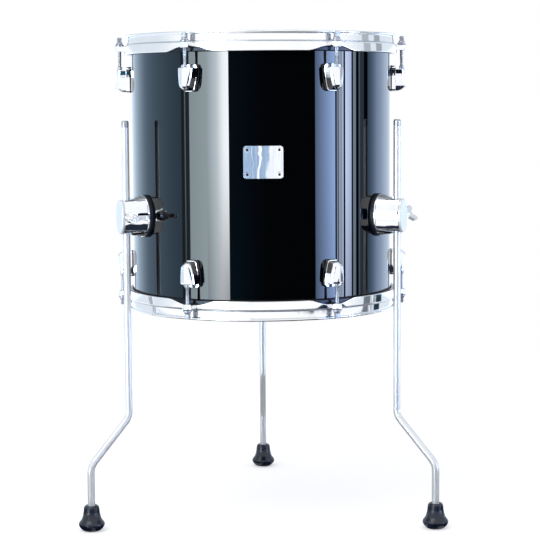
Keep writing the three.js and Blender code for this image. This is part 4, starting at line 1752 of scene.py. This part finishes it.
@dataclass
class Studio:
    """White floor, even light, the panels that the lacquer mirrors, and the camera."""

    floor_radius: float = 1500.0
    lens: float = 112.456
    camera_place: tuple[float, float, float] = (0.066, -2374.59, 564.81)
    camera_down: float = 0.0995
    camera_right: float = 0.0047
    camera_roll: float = -0.0061
    dark_azimuth: Range = (-73.5, 107.0)
    dark_elevation: Range = (-8.6, 3.2)
    dark_blur: Range = (1.5, 0.8)
    dark: Colour = (0.004, 0.006, 0.01)
    room_front: Colour = (1.14, 1.15, 1.17)
    room_side: Colour = (0.82, 0.89, 0.97)
    side_azimuth: Range = (60.0, 100.0)
    lift_elevation: Range = (-8.0, -1.0)
    plain: Colour = (0.74, 0.76, 0.8)
    stands: tuple[tuple[float, float, float], ...] = ((95.5, 104.5, 0.8), (112.5, 122.0, 0.99))
    stand_elevation: Range = (-24.0, 22.0)
    stand_blur: Range = (1.2, 4.0)
    stand_upper_share: float = 0.55
    stand_colour: Colour = (0.012, 0.03, 0.05)
    stand_floor: Range = (0.85, 1.0)
    stand_floor_turn: float = 4.0
    # Painted shadow on the floor that mirrors see: under the drum and in patches beside it, dark at the stands,
    # crossed near the drum by painted light glints.
    under: Range = (0.3, 0.5)
    under_sway: float = 0.2
    painted_shadow_colour: Colour = (0.022, 0.03, 0.05)
    shadow_patches: tuple[tuple[float, float, float, float], ...] = (
        (0.46, -0.5, 0.62, 0.68), (-0.34, -0.28, 0.26, 0.33),
    )
    glints: tuple[Range, ...] = ((0.45, 0.47), (0.54, 0.57))
    glint_blur: float = 0.015
    glint_share: float = 0.8
    glint_fade: Range = (0.34, 0.44)
    floor_white: tuple[Colour, Colour] = ((0.8, 0.8, 0.8), (0.82, 0.82, 0.82))
    floor_glow: float = 0.45
    lamp_place: tuple[float, float, float] = (-1.2, -1.4, 2.4)
    lamp_aim: tuple[float, float, float] = (0.0, -0.05, 0.3)
    lamp_size: float = 1.8
    lamp_energy: float = 16.0
    brightest: float = 4.0
    walls: tuple[tuple[float, Colour], ...] = (
        (-180, (1.5, 1.6, 1.8)), (-150, (1.6, 1.95, 2.35)), (-135, (1.35, 1.8, 2.25)), (-120, (0.85, 1.2, 1.65)),
        (-92, (0.7, 1.08, 1.5)), (-72, (0.5, 0.85, 1.2)), (104, (0.2, 0.45, 0.9)), (114, (0.8, 1.15, 1.75)),
        (123, (1.5, 2.05, 3.05)), (138, (1.75, 2.15, 2.85)), (152, (1.5, 1.75, 2.1)), (180, (1.5, 1.6, 1.8)),
    )
    panels: tuple[Panel, ...] = field(default_factory=lambda: (
        Panel(-73.5, -65.0, 0.3, 0.55, 0.9, (0.55, 0.85, 1.05)),
        Panel(-70.1, -69.0, 2.4, 2.4, 0.35, (0.85, 0.97, 1.0), 0.4),
        Panel(-65.0, -48.0, 6.2, 7.8, 0.97, (0.82, 1.0, 1.07), 0.3),
        Panel(-48.0, -38.5, 7.8, 13.5, 0.7, (0.86, 1.0, 1.09), 0.3),
        Panel(-38.5, -33.0, 13.5, 21.5, 0.66, (0.93, 1.0, 1.06), 0.3, 0.4),
        Panel(-33.0, -28.0, 21.5, 23.5, 0.4, (0.95, 1.0, 1.05), 0.3, 0.28),
        Panel(-28.0, 2.0, 0.12, 0.01, 1.6, (0.12, 0.62, 1.0), 2.0),
        Panel(47.6, 67.3, 4.3, 16.0, 0.8, (0.4, 0.58, 1.0), 0.6),
        Panel(69.0, 70.0, 9.0, 9.0, 1.0, (0.6, 0.73, 1.0), 0.5),
        Panel(70.9, 74.9, 10.5, 8.0, 0.95, (0.6, 0.73, 1.0), 0.5),
        Panel(74.9, 76.3, 15.0, 15.0, 0.8, (0.6, 0.73, 1.0), 0.4),
        Panel(78.2, 85.5, 20.0, 13.0, 0.6, (0.6, 0.71, 1.0), 0.4),
        Panel(87.4, 91.0, 5.4, 4.4, 0.75, (0.6, 0.76, 1.0), 0.6),
        Panel(94.4, 96.4, 1.4, 1.2, 0.8, (0.6, 0.76, 1.0), 0.6),
        Panel(94.4, 101.5, 0.5, 0.7, 0.9, (0.5, 0.75, 1.0)),
    ))

    def _walls(self, graph: Graph, azimuth: Signal) -> Signal:
        """Shades the studio's walls round the drum.

        Args:
            graph: the world's graph.
            azimuth: direction in degrees from the front.

        Returns:
            The walls' light.
        """
        stops = [((place + 180) / 360, tuple(value / self.brightest for value in tint)) for place, tint in self.walls]
        ramp = graph.signal("ShaderNodeValToRGB", {"stops": stops}, {0: azimuth / 360 + 0.5})
        return graph.scaled(ramp, self.brightest)

    def _stands(self, azimuth: Signal) -> Signal:
        """Masks the dark stands at the right, which only the tilted chrome mirrors.

        Args:
            azimuth: direction in degrees from the front.

        Returns:
            How dark it is there.
        """
        blur = self.stand_blur[0]
        first, *others = [azimuth.between(start, end, blur) * depth for start, end, depth in self.stands]
        return sum(others, first)

    @staticmethod
    def _strength(panel: Panel, azimuth: Signal, lift: Signal) -> Signal:
        """Works out one panel's strength.

        Args:
            panel: the panel.
            azimuth: direction in degrees from the front.
            lift: 0 at the panel's foot, 1 where it has its full strength.

        Returns:
            Its strength in each direction.
        """
        run = (azimuth - panel.start) / (panel.end - panel.start)
        strength = run * (panel.end_strength - panel.strength) + panel.strength
        strength = strength * azimuth.between(panel.start, panel.end, panel.blur)
        low = panel.low_share
        if panel.end_low_share is not None:
            low = run * (panel.end_low_share - low) + low
        return strength * (lift * (1 - low) + low)

    def _mirrored(self, graph: Graph) -> Signal:
        """Shades what a mirror sees: a pale room with a dark band, and panels, walls and stands in it.

        Args:
            graph: the world's graph.

        Returns:
            The light from each direction.
        """
        x, y, z = graph.axes("Generated")
        azimuth = x.maths("ARCTAN2", y * -1) * DEGREES
        elevation = z.maths("ARCSINE") * DEGREES
        band = elevation.between(*self.dark_elevation, self.dark_blur[1])
        side = (azimuth * azimuth).rise(*(edge ** 2 for edge in self.side_azimuth))
        around = graph.blend(side, self.room_front, self.room_side)
        (low, high), blur = self.stand_elevation, self.stand_blur[1]
        level = elevation.between(low, 0.0, blur) + elevation.between(0.0, high, blur) * self.stand_upper_share
        around = graph.blend(self._stands(azimuth) * level, around, self.stand_colour)
        mirrored = graph.blend(band, around, self._walls(graph, azimuth))
        dark = azimuth.between(*self.dark_azimuth, self.dark_blur[0]) * band
        mirrored = graph.blend(dark, mirrored, self.dark)
        lift = elevation.rise(*self.lift_elevation)
        for panel in self.panels:
            shine = graph.scaled(panel.tint, self._strength(panel, azimuth, lift) * dark)
            mirrored = graph.blend(1.0, mirrored, shine, "ADD")
        return mirrored

    def world(self) -> None:
        """Lights the scene evenly, and gives mirrors a studio of their own."""
        world = bpy.data.worlds.new("studio")
        bpy.context.scene.world = world
        world.use_nodes = True
        graph = Graph(world.node_tree)
        mirrored = self._mirrored(graph)
        rays = graph.node("ShaderNodeLightPath")
        camera, glossy, through, depth = (
            Signal(graph, rays.outputs[name])
            for name in ("Is Camera Ray", "Is Glossy Ray", "Is Transmission Ray", "Diffuse Depth")
        )
        direct = 1 - depth.maths("MINIMUM", 1.0)
        seen = graph.blend(glossy.maths("MAXIMUM", through) * direct, self.plain, mirrored)
        colour = graph.blend(camera, seen, (1.0, 1.0, 1.0))
        back = graph.node("ShaderNodeBackground", {}, {"Color": colour, "Strength": 1.0})
        graph.node("ShaderNodeOutputWorld", {}, {"Surface": back.outputs[0]})

    def _painted_floor_shadow(self, graph: Graph) -> Signal:
        """Masks where the floor that mirrors see is painted dark: painted shadow under the drum and in patches beside
        it, dark at the stands, less where painted light glints cross it.

        Args:
            graph: the floor's graph.

        Returns:
            How dark it is there.
        """
        x, y, _ = graph.axes()
        sway = (graph.noise(7, 2) - 0.5) * self.under_sway
        radius = (x * x + y * y) ** 0.5
        under = 1 - (radius + sway).rise(*self.under)
        for right, back, inner, outer in self.shadow_patches:
            aside, along = x - right, y - back
            patch = 1 - ((aside * aside + along * along) ** 0.5 + sway).rise(inner, outer)
            under = under.maths("MAXIMUM", patch)
        azimuth = x.maths("ARCTAN2", (y - DRUM_AXIS_Y * MM) * -1) * DEGREES
        stands = self._stands(azimuth + self.stand_floor_turn) * radius.rise(*self.stand_floor)
        under = under.maths("MAXIMUM", stands)
        # Painted light: wavy glints lighten the painted shadow near the drum.
        wave = graph.noise(8, 2)
        first, second = (wave.between(low, high, self.glint_blur) for low, high in self.glints)
        glint = (first + second) * (1 - radius.rise(*self.glint_fade))
        return under * (1 - glint * self.glint_share)

    def floor(self) -> None:
        """Lays a round white floor that keeps the drum's shadow, and that mirrors see with painted shadow under and
        beside the drum.
        """
        bm = bmesh.new()
        bmesh.ops.create_circle(bm, cap_ends=True, radius=self.floor_radius * MM, segments=96)
        mesh = bpy.data.meshes.new("studio_floor")
        bm.to_mesh(mesh)
        bm.free()
        material = bpy.data.materials.new("studio_floor_white")
        material.use_nodes = True
        graph = Graph(material.node_tree)
        rays = graph.node("ShaderNodeLightPath")
        camera, glossy, through = (
            Signal(graph, rays.outputs[name]) for name in ("Is Camera Ray", "Is Glossy Ray", "Is Transmission Ray")
        )
        # Painted shadow: for mirrors the floor is darkened under and beside the drum, and its glow drops there.
        under = self._painted_floor_shadow(graph) * glossy
        white = graph.blend(graph.noise(3, 2), *self.floor_white)
        colour = graph.blend(under, white, self.painted_shadow_colour)
        matt = graph.node("ShaderNodeBsdfDiffuse", {}, {"Color": colour, "Roughness": 0.0})
        glow = camera.maths("MAXIMUM", glossy).maths("MAXIMUM", through) * self.floor_glow * (1 - under)
        light = graph.node("ShaderNodeEmission", {}, {"Color": (1, 1, 1, 1), "Strength": glow})
        both = graph.node("ShaderNodeAddShader", {}, {0: matt.outputs[0], 1: light.outputs[0]})
        graph.node("ShaderNodeOutputMaterial", {}, {"Surface": both.outputs[0]})
        mesh.materials.append(material)
        made = bpy.data.objects.new("studio_floor", mesh)
        bpy.context.scene.collection.objects.link(made)

    def lamps(self) -> None:
        """Hangs one large soft lamp above the front left."""
        lamp = bpy.data.lights.new("soft_overhead", "AREA")
        lamp.shape = "DISK"
        lamp.size = self.lamp_size
        lamp.energy = self.lamp_energy
        made = bpy.data.objects.new("soft_overhead", lamp)
        bpy.context.scene.collection.objects.link(made)
        made.location = self.lamp_place
        aim = Vector(self.lamp_aim) - Vector(self.lamp_place)
        made.rotation_euler = aim.to_track_quat("-Z", "Y").to_euler()

    def camera(self) -> None:
        """Sets up the camera at the photograph's place."""
        data = bpy.data.cameras.new("photograph")
        data.sensor_fit = "AUTO"
        data.sensor_width = 36.0
        data.lens = self.lens
        data.clip_end = 50.0
        made = bpy.data.objects.new("photograph", data)
        bpy.context.scene.collection.objects.link(made)
        turn = (
            Matrix.Rotation(-self.camera_right, 4, "Z")
            @ Matrix.Rotation(math.pi / 2 - self.camera_down, 4, "X")
            @ Matrix.Rotation(self.camera_roll, 4, "Z")
        )
        made.matrix_world = Matrix.Translation(Vector(self.camera_place) * MM) @ turn
        bpy.context.scene.camera = made

    def build(self) -> None:
        """Builds the whole studio."""
        scene = bpy.context.scene
        scene.view_settings.view_transform = "Standard"
        self.camera()
        self.world()
        self.floor()
        self.lamps()
        LOG.info("studio: camera, world, floor and lamp")


def main() -> None:
    """Builds the drum and its studio."""
    logging.basicConfig(level=logging.INFO, format="%(name)s: %(message)s")
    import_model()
    Studio().build()
    Vessel().build()
    for side in Side:
        end = DrumEnd(side)
        end.build()
        LugSet(side).build(end.azimuths)
    for name, azimuth, wing in (("left", -60, 8), ("right", 60, 58), ("back", 180, 20)):
        LegStation(name, azimuth, wing).build()


if __name__ == "__main__":
    main()
